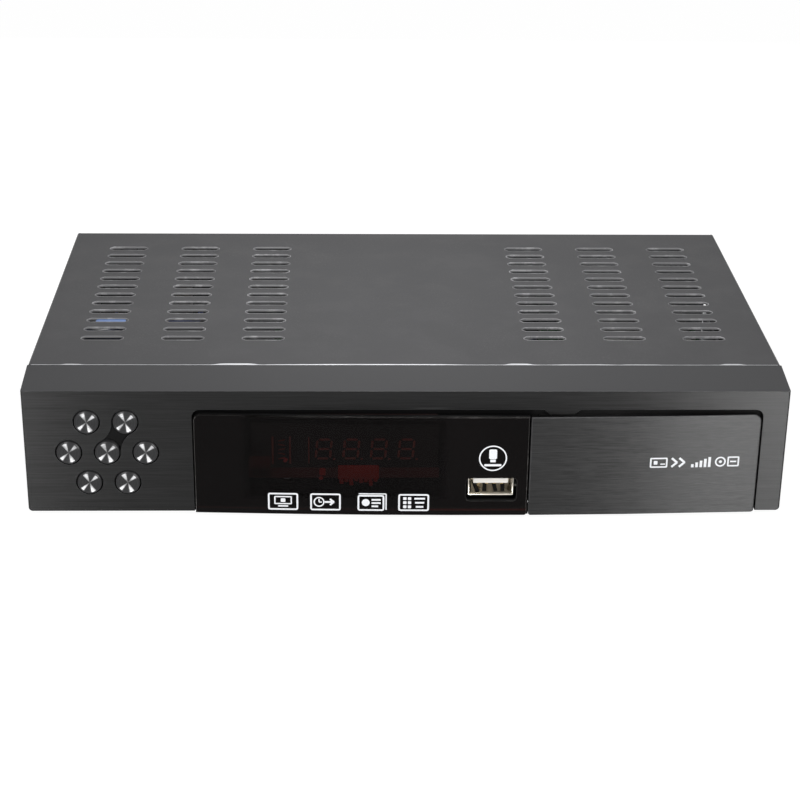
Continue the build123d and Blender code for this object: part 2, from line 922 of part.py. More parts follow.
def card_door():
    """The door: a bowed plate with two ears at its foot and a pad that meets the stop lug."""
    plate = bowed_plate(door_left, door_right, door_thickness, floor_z, door_top_z)
    upper_right = cross_edges(plate).sort_by(Axis.Z)[-2:].sort_by(Axis.X)[-1]
    plate = fillet(upper_right, plate_corner_radius)
    lower = cross_edges(plate).sort_by(Axis.Z)[:2]
    plate = fillet(lower, plate_small_radius)
    plate = chamfer(plate.faces().sort_by(Axis.Y)[0].edges(), plate_edge_chamfer)
    for x in door_ear_x():
        x0 = x - door_ear_thickness / 2
        x1 = x + door_ear_thickness / 2
        web_front = bow_y(x, door_thickness / 2)
        plate += block(x0, x1, web_front, hinge_y, hinge_z - door_ear_radius, hinge_z + door_ear_radius)
        plate += rod_x(x0, x1, hinge_y, hinge_z, door_ear_radius)
        plate -= rod_x(x0 - overrun, x1 + overrun, hinge_y, hinge_z, hinge_pin_radius + hinge_play)
    pad_left = stop_lug_left + stop_lug_taper
    pad_right = stop_lug_right - stop_lug_taper
    pad_front = bow_y(pad_left, door_thickness / 2)
    pad_top = door_top_z - plate_edge_chamfer
    plate += block(pad_left, pad_right, pad_front, -stop_gap, pad_top - stop_pad_height, pad_top)
    return plate


def door_ear_x():
    """The middles of the door's two ears."""
    inset = door_ear_inset + door_ear_thickness / 2
    return (door_left + inset, door_right - inset)


def carrier_ear_x():
    """The middles of the carrier's ears, outside those of the door."""
    step = (door_ear_thickness + carrier_ear_thickness) / 2 + hinge_side_gap
    left, right = door_ear_x()
    return (left - step, right + step)


def door_hinge_pins():
    """The two pins that the door swings on, each fixed in an ear of the carrier."""
    pins = []
    for ear, door_ear in zip(carrier_ear_x(), door_ear_x()):
        outer = ear + (ear - door_ear) / abs(ear - door_ear) * carrier_ear_thickness / 2
        inner = outer + (door_ear - ear) / abs(ear - door_ear) * hinge_pin_length
        pins.append(rod_x(min(outer, inner), max(outer, inner), hinge_y, hinge_z, hinge_pin_radius))
    return pins


def front_carrier():
    """The inner moulding behind the opening: window ribs, apertures, the card bay and the door's bearings."""
    low = floor_z + bottom_wall + carrier_gap
    high = face_top_z - top_wall - carrier_gap
    plate = block(carrier_left, carrier_right, face_wall, carrier_back_y, low, high)
    ear_left, ear_right = carrier_ear_x()
    left = ear_left - carrier_ear_thickness / 2
    right = ear_right + carrier_ear_thickness / 2
    shelf_low = bay_floor_z - bay_wall
    cut_left = left - hinge_side_gap
    cut_back = carrier_back_y + overrun
    plate -= block(cut_left, opening_right, 0, cut_back, low - overrun, shelf_low)
    plate += window_ribs()
    plate += block(left, right, bay_front, carrier_back_y, shelf_low, bay_floor_z)
    plate += block(
        bay_left - bay_wall,
        bay_right + bay_wall,
        bay_front,
        bay_depth + bay_wall,
        shelf_low,
        bay_top_z + bay_wall,
    )
    plate -= block(bay_left, bay_right, bay_front - overrun, bay_depth, bay_floor_z, bay_top_z)
    plate -= card_slot_cutter()
    for x in (ear_left, ear_right):
        x0 = x - carrier_ear_thickness / 2
        x1 = x + carrier_ear_thickness / 2
        ear_front = hinge_y - carrier_ear_radius
        ear_back = hinge_y + carrier_ear_radius
        plate += block(x0, x1, ear_front, ear_back, hinge_z, bay_floor_z)
        plate += rod_x(x0, x1, hinge_y, hinge_z, carrier_ear_radius)
        plate -= rod_x(x0 - overrun, x1 + overrun, hinge_y, hinge_z, hinge_pin_radius)
    plate -= display_apertures()
    size = front_post_size
    for height in front_post_height:
        plate += centred_block(carrier_post_x, size, face_wall, front_board_y, floor_z + height, size)
    return plate


def window_ribs():
    """The frame of ribs that the window is glued to, cut to the bow of its back."""
    left = window_left + rib_inset
    right = window_right - rib_inset
    low = floor_z + bottom_wall + carrier_gap
    high = window_top_z - rib_inset
    front = window_thickness + carrier_gap
    solid = bowed_slab(left, right, front, carrier_back_y, low, high)
    inner_low = low + rib_width
    inner_high = high - rib_width
    inner = block(left + rib_width, right - rib_width, -bow_proud, carrier_back_y, inner_low, inner_high)
    x = usb_x - usb_cutout_width / 2 - 2 * rib_width
    return solid - inner + bowed_slab(x, x + rib_width, front, carrier_back_y, low, high)


def display_apertures():
    """The cutters in the carrier for the display, the infra-red eye, the lamp and the USB receptacle."""
    x0 = display_left - display_aperture_margin
    x1 = display_right + display_aperture_margin
    y1 = carrier_back_y + overrun
    low = floor_z + display_low - display_aperture_margin
    high = floor_z + display_high + display_aperture_margin
    cutters = block(x0, x1, 0, y1, low, high)
    cutters += rod_y(eye_x, 0, y1, floor_z + eye_height, eye_aperture_radius)
    cutters += rod_y(lamp_x, 0, y1, floor_z + lamp_height, lamp_aperture_radius)
    cutters += centred_block(usb_x, usb_cutout_width, 0, y1, usb_z, usb_cutout_height)
    half = usb_board_width / 2 + carrier_gap
    return cutters + block(usb_x - half, usb_x + half, 0, y1, usb_board_z - carrier_gap, usb_z)


def card_slot_cutter():
    """The slot in the bay's back wall, flared towards the card."""
    width = card_width + card_slot_play
    height = card_thickness + card_slot_play
    y0 = bay_depth - overrun
    slot = centred_block(card_x, width, y0, bay_depth + bay_wall + overrun, card_z, height)
    flare = outline(
        (bay_depth - carrier_gap, card_z - height / 2 - card_slot_flare),
        (bay_depth - carrier_gap, card_z + height / 2 + card_slot_flare),
        (bay_depth + card_slot_flare, card_z + height / 2),
        (bay_depth + card_slot_flare, card_z - height / 2),
    )
    return slot + along_x(flare, card_x - width / 2, card_x + width / 2)


def card_reader():
    """The reader's plastic body, with the channel that a card slides into."""
    y1 = reader_front_y + reader_length
    middle_z = board_top_z + reader_height / 2
    body = centred_block(card_x, reader_width, reader_front_y, y1, middle_z, reader_height)
    height = card_thickness + card_slot_play / 2
    channel = card_width + card_slot_play / 2
    body -= centred_block(card_x, channel, reader_front_y - overrun, y1 - bay_wall, card_z, height)
    half = contact_window / 2
    top = board_top_z + reader_height + overrun
    return body - block(card_x - half, card_x + half, y1 - contact_window, y1 - 2 * bay_wall, card_z, top)


def card_reader_shield():
    """The steel sheet over the reader."""
    low = board_top_z + reader_height
    front = reader_front_y + bay_wall
    end = reader_front_y + reader_length
    half = reader_width / 2
    sheet = block(card_x - half, card_x + half, front, end, low, low + shield_sheet)
    rear = end - bay_wall
    for i in range(shield_slots):
        x = card_x - half + reader_width * (i + 0.5) / shield_slots
        cut_height = 2 * shield_sheet + overrun
        sheet -= centred_block(x, shield_slot_width, rear - shield_slot_length, rear, low, cut_height)
    return sheet


# ---------------------------------------------------------------- keys


def key(index):
    """One key: a round cap with a dished face, a square flange behind the face and a stem."""
    x, z = key_place(index)
    flange_end = key_flange_y + key_flange_thickness
    cap = rod_y(x, -key_proud, key_flange_y, z, key_cap_radius)
    dish = Cone(0, key_cap_radius, key_dish_depth, align=(Align.CENTER, Align.CENTER, Align.MAX))
    cap -= Plane(origin=(x, -key_proud, z), z_dir=(0, -1, 0)) * dish
    cap += centred_block(x, key_flange_size, key_flange_y, flange_end, z, key_flange_size)
    return cap + centred_block(x, key_stem_size, flange_end, flange_end + key_stem_length, z, key_stem_size)


def plunger(index):
    """The plunger that one key presses into its switch."""
    x, z = key_place(index)
    return centred_block(x, plunger_size, plunger_y, switch_y + plunger_in, z, plunger_size)


def tact_switches():
    """The bodies of the push switches, each with the bore that its plunger slides in."""
    bodies = []
    bore_end = switch_y + plunger_in + key_travel + switch_bore_spare
    for index in range(len(key_names)):
        x, z = key_place(index)
        body = centred_block(x, switch_body, switch_y, front_board_y, z, switch_body)
        bore = plunger_size + 2 * plunger_play
        bodies.append(body - centred_block(x, bore, switch_y - overrun, bore_end, z, bore))
    return bodies


# ---------------------------------------------------------------- front electronics


def front_board():
    """The circuit board that carries the switches, the display, the eye and the lamp."""
    low = floor_z + front_board_low
    high = floor_z + front_board_high
    return block(front_board_left, front_board_right, front_board_y, front_board_back_y, low, high)


def display_module():
    """The four-digit display block, with a raised frame round its lit face."""
    front = front_board_y - display_depth
    low = floor_z + display_low
    high = floor_z + display_high
    body = block(display_left, display_right, front, front_board_y, low, high)
    left = display_left + display_rim
    right = display_right - display_rim
    step = front + display_rim_step
    return body - block(left, right, front - overrun, step, low + display_rim, high - display_rim)


def ir_receiver():
    """The infra-red eye with its dome."""
    z = floor_z + eye_height
    front = front_board_y - eye_depth
    body = centred_block(eye_x, eye_size, front, front_board_y, z, eye_size)
    dome = centred_block(eye_x, eye_dome_size, front - eye_dome_height, front_board_y, z, eye_dome_size)
    return body + chamfer(dome.edges().group_by(Axis.Y)[0], eye_dome_chamfer)


def standby_led():
    """The standby lamp: a round lens on a square collar."""
    z = floor_z + lamp_height
    front = front_board_y - lamp_length
    body = rod_y(lamp_x, front, front_board_y, z, lamp_radius)
    size = 2 * lamp_radius + lamp_base
    return body + centred_block(lamp_x, size, front_board_y - lamp_base, front_board_y, z, size)


def usb_shell():
    """The folded steel shell of the USB receptacle, with flared lips round its mouth."""
    y0 = usb_mouth_y
    y1 = usb_mouth_y + usb_length
    outer = centred_block(usb_x, usb_width, y0 + usb_flare_length, y1, usb_z, usb_thickness)
    lips = flared(usb_width, usb_thickness, y0)
    inner_width = usb_width - 2 * usb_wall
    inner_height = usb_thickness - 2 * usb_wall
    hollow = centred_block(usb_x, inner_width, y0 + usb_flare_length, y1 - usb_wall, usb_z, inner_height)
    return outer + lips - hollow - flared(inner_width, inner_height, y0)


def flared(width, height, y0):
    """The flaring end of the receptacle, wide at the mouth."""
    wide = Pos(usb_x, usb_z) * Rectangle(width + 2 * usb_flare, height + 2 * usb_flare)
    narrow = Pos(usb_x, usb_z) * Rectangle(width, height)
    mouth = Plane.XZ.offset(-y0) * wide
    throat = Plane.XZ.offset(-y0 - usb_flare_length) * narrow
    return loft([throat, mouth])


def usb_tongue():
    """The plastic tongue inside the USB receptacle and the block behind it."""
    y1 = usb_mouth_y + usb_length - usb_wall
    inner_top = usb_z + usb_thickness / 2 - usb_wall
    z1 = inner_top - usb_tongue_drop
    z0 = z1 - usb_tongue_thickness
    half = usb_tongue_width / 2
    tongue = block(usb_x - half, usb_x + half, usb_mouth_y + usb_flare_length, y1, z0, z1)
    height = usb_thickness - 2 * usb_wall
    return tongue + centred_block(usb_x, usb_width - 2 * usb_wall, y1 - 3 * usb_wall, y1, usb_z, height)


def usb_board():
    """The small board under the USB receptacle."""
    half = usb_board_width / 2
    end = panel_depth - usb_board_end_gap
    return block(usb_x - half, usb_x + half, usb_board_front, end, usb_board_z, usb_board_z + board_thickness)


def socket_y():
    """The front and back of the ribbon's socket on the front board."""
    return (front_board_back_y, front_board_back_y + socket_depth)


def ribbon_cable():
    """The flat cable from the front board down to the main board."""
    y0 = socket_y()[1]
    z1 = board_top_z + socket_height
    path = FilletPolyline((y0, ribbon_z), (ribbon_low_y, ribbon_z), (ribbon_low_y, z1), radius=ribbon_bend)
    strip = trace(path, ribbon_thickness)
    half = ribbon_width / 2
    return along_x(strip, ribbon_x - half, ribbon_x + half)


def board_sockets():
    """The pin sockets at the ends of the ribbon and of the supply's harness."""
    left = ribbon_x - ribbon_width / 2
    right = ribbon_x + ribbon_width / 2
    y0, y1 = socket_y()
    depth = socket_depth / 2
    top = board_top_z + socket_height
    sockets = [
        block(left, right, y0, y1, ribbon_z - depth, ribbon_z + depth),
        block(left, right, ribbon_low_y - depth, ribbon_low_y + depth, board_top_z, top),
    ]
    front = harness_y - harness_width / 2
    back = harness_y + harness_width / 2
    for x in harness_x():
        sockets.append(block(x - depth, x + depth, front, back, board_top_z, top))
    return sockets


def harness_x():
    """The middles of the sockets that the supply's harness joins."""
    return (psu_right - socket_depth, main_left + socket_depth)


def psu_harness():
    """The flat bundle of wires from the power supply to the main board."""
    x0, x1 = harness_x()
    z0 = board_top_z + socket_height
    z1 = z0 + harness_arch
    path = FilletPolyline((x0, z0), (x0, z1), (x1, z1), (x1, z0), radius=ribbon_bend)
    half = harness_width / 2
    return along_y(trace(path, ribbon_thickness), harness_y - half, harness_y + half)


# ---------------------------------------------------------------- main board


def main_board():
    """The main circuit board, with its screw holes."""
    return drilled_board(main_left, main_right, main_front, main_rear, main_screw_places)


def psu_board():
    """The power supply's circuit board."""
    return drilled_board(psu_left, psu_right, psu_front, psu_rear, psu_screw_places)


def drilled_board(x0, x1, y0, y1, places):
    """A board on the standoffs, drilled where its screws go."""
    board = block(x0, x1, y0, y1, board_z, board_top_z)
    for x, y in places:
        board -= rod_z(x, y, board_z - overrun, board_top_z + overrun, screw_hole_radius)
    return board


def board_screws():
    """The screws that hold the boards to the standoffs."""
    return [pan_screw(x, y, board_top_z, (0, 0, 1)) for x, y in main_screw_places + psu_screw_places]


def cover_screws():
    """The screws through the cover's rear lip."""
    return [pan_screw(x, body_depth, top_z - cover_screw_drop, (0, 1, 0)) for x in cover_screw_x]


def board_chips():
    """The main chip and the memory chips."""
    chips = [slab(chip_x, chip_y, chip_size, chip_size, board_top_z, chip_height)]
    for y in memory_y:
        chips.append(slab(memory_x, y, memory_width, memory_length, board_top_z, memory_height))
    return chips


def heat_sink():
    """The finned heat sink on the main chip."""
    low = board_top_z + chip_height
    sink = slab(chip_x, chip_y, sink_size, sink_size, low, sink_base)
    for offset in finned(sink_fins, sink_fin, sink_size):
        sink += slab(chip_x + offset, chip_y, sink_fin, sink_size, low, sink_fin_height)
    return sink


def board_capacitors():
    """The upright capacitors of both boards."""
    return [capacitor(x, y, can_radius, can_height) for x, y in can_places + psu_can_places]


def capacitor(x, y, radius, height):
    """One upright can."""
    return rod_z(x, y, board_top_z, board_top_z + height, radius)


def bulk_capacitor():
    """The large capacitor of the power supply."""
    return capacitor(bulk_x, transformer_y, bulk_radius, bulk_height)


def tuner_can():
    """The screened tuner that the aerial jacks stand on."""
    top = board_top_z + tuner_height
    can = block(tuner_left, tuner_right, tuner_front, rear_inner_y, board_top_z, top)
    return chamfer(can.edges().group_by(Axis.Z)[-1], tuner_edge)


def lnb_jacks():
    """The two threaded aerial jacks, each with the hole for the cable's inner wire."""
    jacks = []
    for x in lnb_x:
        shoulder_end = rear_outer_y + nut_thickness + nut_play
        jack = rod_y(x, rear_inner_y, shoulder_end, lnb_z, lnb_shoulder_radius)
        jack += rod_y(x, shoulder_end, rear_most_y, lnb_z, lnb_thread_radius)
        start = rear_most_y - lnb_pin_hole_depth
        jacks.append(jack - rod_y(x, start, rear_most_y + overrun, lnb_z, lnb_pin_hole_radius))
    return jacks


def lnb_nuts():
    """The nuts that clamp the aerial jacks to the rear panel."""
    nuts = []
    for x in lnb_x:
        ring = RegularPolygon(nut_flats / 2, 6, major_radius=False) - Circle(lnb_shoulder_radius + nut_play)
        nuts.append(along_y(Pos(x, lnb_z) * ring, rear_outer_y, rear_outer_y + nut_thickness))
    return nuts


def av_jack_block():
    """The plastic block of the three round audio and video jacks, with the core of each."""
    right = av_block_left + av_block_width
    front = rear_inner_y - av_block_depth
    body = block(av_block_left, right, front, rear_inner_y, board_top_z, board_top_z + av_block_height)
    for x in av_x:
        end = rear_outer_y + av_reach - av_shell_wall
        body += rod_y(x, rear_inner_y - overrun, end, av_z, av_core_radius)
        body -= rod_y(x, rear_inner_y, end + overrun, av_z, av_hole_radius)
    return body


def av_jack_shells():
    """The metal rings of the audio and video jacks."""
    rings = []
    for x in av_x:
        ring = rod_y(x, rear_outer_y, rear_outer_y + av_reach, av_z, av_shell_radius)
        inner = av_shell_radius - av_shell_wall
        rings.append(ring - rod_y(x, rear_inner_y, rear_outer_y + av_reach + overrun, av_z, inner))
    return rings


def hdmi_view(width, height):
    """The mouth of the HDMI receptacle: a rectangle whose lower corners are cut away."""
    top = hdmi_z + height / 2
    low = hdmi_z - height / 2
    half = width / 2
    waist = low + hdmi_taper
    return outline(
        (hdmi_x - half, top),
        (hdmi_x + half, top),
        (hdmi_x + half, waist),
        (hdmi_x + half - hdmi_taper, low),
        (hdmi_x - half + hdmi_taper, low),
        (hdmi_x - half, waist),
    )


def hdmi_shell():
    """The folded shell of the HDMI receptacle."""
    end = rear_outer_y + hdmi_reach
    shell = along_y(hdmi_view(hdmi_width, hdmi_thickness), end - hdmi_length, end)
    inner = hdmi_view(hdmi_width - 2 * hdmi_wall, hdmi_thickness - 2 * hdmi_wall)
    return shell - along_y(inner, end - hdmi_length + hdmi_wall, end + overrun)


def hdmi_tongue():
    """The tongue inside the HDMI receptacle."""
    end = rear_outer_y + hdmi_reach
    back = end - hdmi_length + hdmi_wall
    half = hdmi_tongue_width / 2
    front = end - hdmi_reach
    tongue = centred_block(hdmi_x, hdmi_tongue_width, back, front, hdmi_z, hdmi_tongue_thickness)
    top = hdmi_z + hdmi_thickness / 2 - hdmi_wall
    return tongue + block(hdmi_x - half, hdmi_x + half, back, back + hdmi_reach, hdmi_z, top)


def network_jack():
    """The network jack: a box with a stepped socket for the plug and its latch."""
    end = rear_outer_y + network_reach
    body = centred_block(network_x, network_width, end - network_length, end, network_z, network_height)
    hole_low = network_z - network_height / 2 + network_wall + network_latch_height
    hole_z = hole_low + network_hole_height / 2
    socket_end = end - network_hole_depth
    y1 = end + overrun
    body -= centred_block(network_x, network_hole_width, socket_end, y1, hole_z, network_hole_height)
    half = network_latch_width / 2
    latch_y = end - network_hole_depth / 2
    latch_low = hole_low - network_latch_height
    return body - block(network_x - half, network_x + half, latch_y, y1, latch_low, hole_z)


# ---------------------------------------------------------------- power supply


def transformer():
    """The transformer: a core with a winding between its two outer legs."""
    x0 = transformer_x - transformer_width / 2
    x1 = transformer_x + transformer_width / 2
    y0 = transformer_y - transformer_length / 2
    y1 = transformer_y + transformer_length / 2
    z1 = board_top_z + transformer_height
    core = block(x0, x1, y0, y1, board_top_z, z1)
    leg = transformer_leg
    core -= block(x0 + leg, x1 - leg, y0 - overrun, y1 + overrun, board_top_z + leg, z1 - leg)
    half_leg = leg / 2
    low = board_top_z + leg
    winding = block(x0 + half_leg, x1 - half_leg, y0 - half_leg, y1 + half_leg, low, z1 - leg)
    winding = chamfer(winding.edges().filter_by(Axis.Z), leg)
    return core + winding


def psu_heat_sink():
    """The upright finned plate beside the supply's power transistor."""
    x0 = psu_sink_x - psu_sink_width / 2
    y1 = psu_sink_y + psu_sink_thickness
    z1 = board_top_z + psu_sink_height
    plate = block(x0, x0 + psu_sink_width, psu_sink_y, y1, board_top_z, z1)
    half = psu_sink_thickness / 2
    front = psu_sink_y - psu_sink_fin_depth
    for offset in finned(psu_sink_fins, psu_sink_thickness, psu_sink_width):
        x = psu_sink_x + offset
        plate += block(x - half, x + half, front, psu_sink_y + half, board_top_z, z1)
    return plate


def inlet_pin_x():
    """The middles of the two poles of the inlet."""
    return (inlet_x - inlet_pole_pitch / 2, inlet_x + inlet_pole_pitch / 2)


def inlet_front_y():
    """The outermost face of the inlet."""
    return rear_outer_y + inlet_bezel


def mains_inlet():
    """The mains inlet: a bezel outside the rear panel and a body with a figure-of-eight socket."""
    y1 = inlet_front_y()
    body = centred_block(inlet_x, inlet_bezel_width, rear_outer_y, y1, inlet_z, inlet_bezel_height)
    body = chamfer(body.faces().sort_by(Axis.Y)[-1].edges(), inlet_bezel_chamfer)
    y0 = rear_outer_y - inlet_body_depth
    body += centred_block(inlet_x, inlet_body_width, y0, rear_outer_y, inlet_z, inlet_body_height)
    socket = Sketch() + [Pos(x, inlet_z) * Circle(inlet_pole_radius) for x in inlet_pin_x()]
    socket += Pos(inlet_x, inlet_z) * Rectangle(inlet_pole_pitch, inlet_waist)
    body -= along_y(socket, y1 - inlet_recess_depth, y1 + overrun)
    for x in inlet_pin_x():
        body -= rod_y(x, y0 - overrun, y1, inlet_z, inlet_pin_radius)
    return body


def mains_pins():
    """The two round pins of the inlet, with their tabs behind it."""
    y0 = rear_outer_y - inlet_body_depth
    end = inlet_front_y() - inlet_recess_depth + inlet_pin_length
    return [rod_y(x, y0 - inlet_tab_length, end, inlet_z, inlet_pin_radius) for x in inlet_pin_x()]


def power_switch():
    """The rear switch's frame and body, with the well and the bearings of its rocker."""
    y1 = rear_outer_y + rocker_bezel
    y0 = rear_outer_y - rocker_body_depth
    body = centred_block(rocker_x, rocker_bezel_width, rear_outer_y, y1, rocker_z, rocker_bezel_height)
    body = chamfer(body.faces().sort_by(Axis.Y)[-1].edges(), rocker_bezel_chamfer)
    body += centred_block(rocker_x, rocker_body_width, y0, rear_outer_y, rocker_z, rocker_body_height)
    well_end = y1 - rocker_well_depth
    body -= centred_block(rocker_x, rocker_well_width, well_end, y1 + overrun, rocker_z, rocker_well_height)
    bearing = rocker_well_width / 2 + rocker_trunnion_length
    radius = rocker_trunnion_radius + rocker_trunnion_play
    body -= rod_x(rocker_x - bearing, rocker_x + bearing, rocker_pivot_y, rocker_z, radius)
    for side in (-1, 1):
        tab_x = rocker_x + side * rocker_body_width / 4
        body += centred_block(tab_x, tray_sheet, y0 - inlet_tab_length, y0, rocker_z, inlet_tab_length)
    return body


def power_rocker():
    """The rocker, pressed in at its upper end, with the trunnions that it turns on."""
    reach = rocker_well_height / 2 - rocker_end_gap
    face = reach * rocker_face_share
    root = reach * rocker_root_share
    outer = rocker_pivot_y + rocker_pivot_depth
    inner = outer - rocker_thickness
    dish = ThreePointArc((outer, rocker_z + face), (outer - rocker_dish, rocker_z), (outer, rocker_z - face))
    sides = Polyline(dish @ 1, (inner, rocker_z - root), (inner, rocker_z + root), dish @ 0)
    side_view = make_face(dish + sides)
    half = rocker_well_width / 2 - rocker_side_gap
    cap = along_x(side_view, rocker_x - half, rocker_x + half)
    stub = rocker_well_width / 2 + rocker_trunnion_length - rocker_side_gap
    cap += rod_x(rocker_x - stub, rocker_x + stub, rocker_pivot_y, rocker_z, rocker_trunnion_radius)
    return cap.rotate(Axis((rocker_x, rocker_pivot_y, rocker_z), (1, 0, 0)), rocker_tilt)


def mains_wires():
    """The insulated wires from the inlet to the switch and on to the power supply."""
    tab_y = rear_outer_y - inlet_body_depth - inlet_tab_length
    left_pin, right_pin = inlet_pin_x()
    left_tab = rocker_x - rocker_body_width / 4
    right_tab = rocker_x + rocker_body_width / 4
    tab_end_y = rear_outer_y - rocker_body_depth - inlet_tab_length
    bend_y = tab_y - wire_run
    runs = [
        (
            (right_pin, tab_y, inlet_z),
            (right_pin, bend_y, inlet_z),
            (left_tab, bend_y, rocker_z),
            (left_tab, tab_end_y, rocker_z),
        ),
        ((left_pin, tab_y, inlet_z), (left_pin, bend_y, inlet_z), (left_pin, bend_y, board_top_z)),
        ((right_tab, tab_end_y, rocker_z), (right_tab, bend_y, rocker_z), (right_tab, bend_y, board_top_z)),
    ]
    wires = []
    for points in runs:
        path = FilletPolyline(*points, radius=wire_bend)
        start = Plane(origin=path @ 0, z_dir=path % 0)
        wires.append(sweep(start * RegularPolygon(wire_radius, 6), path=path))
    return wires


# ---------------------------------------------------------------- writing the pieces


def pieces():
    """Every piece of the receiver, by name."""
    makers = [
        chassis,
        rear_panel,
        top_cover,
        feet,
        cover_screws,
        board_screws,
        front_panel,
        display_window,
        front_carrier,
        card_door,
        door_hinge_pins,
        card_reader,
        card_reader_shield,
        tact_switches,
        front_board,
        display_module,
        ir_receiver,
        standby_led,
        usb_shell,
        usb_tongue,
        usb_board,
        ribbon_cable,
        psu_harness,
        board_sockets,
        main_board,
        board_chips,
        heat_sink,
        board_capacitors,
        tuner_can,
        lnb_jacks,
        lnb_nuts,
        av_jack_block,
        av_jack_shells,
        hdmi_shell,
        hdmi_tongue,
        network_jack,
        psu_board,
        transformer,
        bulk_capacitor,
        psu_heat_sink,
        mains_inlet,
        mains_pins,
        power_switch,
        power_rocker,
        mains_wires,
    ]
    made = {maker.__name__: maker() for maker in makers}
    for index, name in enumerate(key_names):
        made["key_" + name] = key(index)
        made["plunger_" + name] = plunger(index)
    return made


def write_pieces():
    """Move every piece to the part's own frame and write one file for each."""
    os.makedirs("parts", exist_ok=True)
    for name, shape in pieces().items():
        solids = shape if isinstance(shape, list) else [shape]
        placed = [solid.moved(Pos(0, -middle_y, 0)) for piece in solids for solid in piece.solids()]
        export_step(placed[0] if len(placed) == 1 else Compound(children=placed), f"parts/{name}.step")


write_pieces()
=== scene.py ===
"""Satellite television receiver: finishes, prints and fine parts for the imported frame.

Lengths in this script are millimetres, measured as the frame measures them, with the receiver's
middle at X = 0, its front towards -Y and the table at Z = 0. MM turns them into metres.
"""

import json
from math import cos, exp, pi, radians, sin, sqrt

import bmesh
import bpy
from mathutils import Matrix, Vector, noise as cloud
from mathutils.bvhtree import BVHTree

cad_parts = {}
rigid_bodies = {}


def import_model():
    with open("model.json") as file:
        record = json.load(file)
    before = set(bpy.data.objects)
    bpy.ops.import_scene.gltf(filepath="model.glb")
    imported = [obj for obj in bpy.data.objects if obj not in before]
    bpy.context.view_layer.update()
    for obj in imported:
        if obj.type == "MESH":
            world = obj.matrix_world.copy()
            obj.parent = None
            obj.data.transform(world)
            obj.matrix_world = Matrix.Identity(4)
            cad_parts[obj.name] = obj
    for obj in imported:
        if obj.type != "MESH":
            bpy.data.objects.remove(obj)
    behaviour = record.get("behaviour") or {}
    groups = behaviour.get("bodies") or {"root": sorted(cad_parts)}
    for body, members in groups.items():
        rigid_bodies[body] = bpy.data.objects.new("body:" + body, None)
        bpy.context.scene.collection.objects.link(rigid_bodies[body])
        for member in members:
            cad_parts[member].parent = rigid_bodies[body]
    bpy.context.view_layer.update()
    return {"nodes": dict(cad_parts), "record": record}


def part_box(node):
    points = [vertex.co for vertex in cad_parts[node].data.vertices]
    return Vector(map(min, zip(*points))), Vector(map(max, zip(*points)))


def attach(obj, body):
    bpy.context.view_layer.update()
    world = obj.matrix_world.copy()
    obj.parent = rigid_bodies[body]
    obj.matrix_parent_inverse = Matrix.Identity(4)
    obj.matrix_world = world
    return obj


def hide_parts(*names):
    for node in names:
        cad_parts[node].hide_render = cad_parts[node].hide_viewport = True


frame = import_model()

MM = 0.001
MAP_SIZE = 10.0  # the width of a key's face that its own map spans
UP, FRONT, REAR = Vector((0, 0, 1)), Vector((0, -1, 0)), Vector((0, 1, 0))
NODES = frame["nodes"]
SLOT_OF = {part["node"]: part["material_slot"] for part in frame["record"]["subparts"]}
BODY_OF = {
    name: body for body, names in frame["record"]["behaviour"]["bodies"].items() for name in names
}


def corner_mm(name):
    """The lowest and highest corners of a CAD node, in millimetres."""
    low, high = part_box(name)
    return low / MM, high / MM


FACE_Y = corner_mm("front_panel")[0].y  # the flat face of the front
REAR_Y = corner_mm("rear_panel")[1].y  # the outside of the rear panel
PLATE_Y = FACE_Y + 2.5  # the carrier's plate behind the window


def placed(name, data):
    """A new object in the scene that holds some data."""
    made = bpy.data.objects.new(name, data)
    bpy.context.scene.collection.objects.link(made)
    return made


def meshed(name, shape, material):
    """A mesh with one material from a shape, which is freed."""
    mesh = bpy.data.meshes.new(name)
    shape.to_mesh(mesh)
    shape.free()
    mesh.materials.append(material)
    return mesh


# -------------------- shader nodes


def bare_tree(owner):
    """The emptied node tree of a material or a world."""
    owner.use_nodes = True
    owner.node_tree.nodes.clear()
    return owner.node_tree


def feed(socket, value):
    """A link where the value is another node's output, and otherwise a plain value."""
    if linked(value):
        socket.id_data.links.new(value, socket)
    else:
        socket.default_value = value


def node(source, kind, settings=None, given=(), **values):
    """One shader node in the tree of a source, which is a socket or the tree itself.

    It has its settings, and the values of its inputs in order or by name.
    """
    made = source.id_data.nodes.new("ShaderNode" + kind)
    for name, value in (settings or {}).items():
        setattr(made, name, value)
    for socket, value in zip(made.inputs, given):
        feed(socket, value)
    for name, value in values.items():
        feed(made.inputs[name.replace("_", " ")], value)
    return made


def linked(value):
    """Whether a value is another node's output."""
    return isinstance(value, bpy.types.NodeSocket)


def blend(share, first, second):
    """One shader over another."""
    return node(share, "MixShader", given=(share, first, second)).outputs[0]


def calc(operation, *values):
    """One sum of one or two values, of which at least one is another node's output."""
    source = next(v for v in values if linked(v))
    return node(source, "Math", {"operation": operation}, values).outputs[0]


def times(first, *others):
    """The product of some values."""
    for other in others:
        first = calc("MULTIPLY", first, other)
    return first


def span(value, low, high, to_low=0.0, to_high=1.0):
    """A value moved smoothly from one span to another."""
    smooth = {"interpolation_type": "SMOOTHSTEP"}
    return node(value, "MapRange", smooth, (value, low, high, to_low, to_high)).outputs[0]


def tint(share, first, second):
    """A colour between two colours."""
    made = node(share, "Mix", {"data_type": "RGBA"}, (share,))
    for index, colour in ((6, first), (7, second)):
        feed(made.inputs[index], colour if linked(colour) else (*colour, 1))
    return made.outputs[2]


def apart(vector):
    """The X, Y and Z of a vector."""
    return tuple(node(vector, "SeparateXYZ", Vector=vector).outputs)


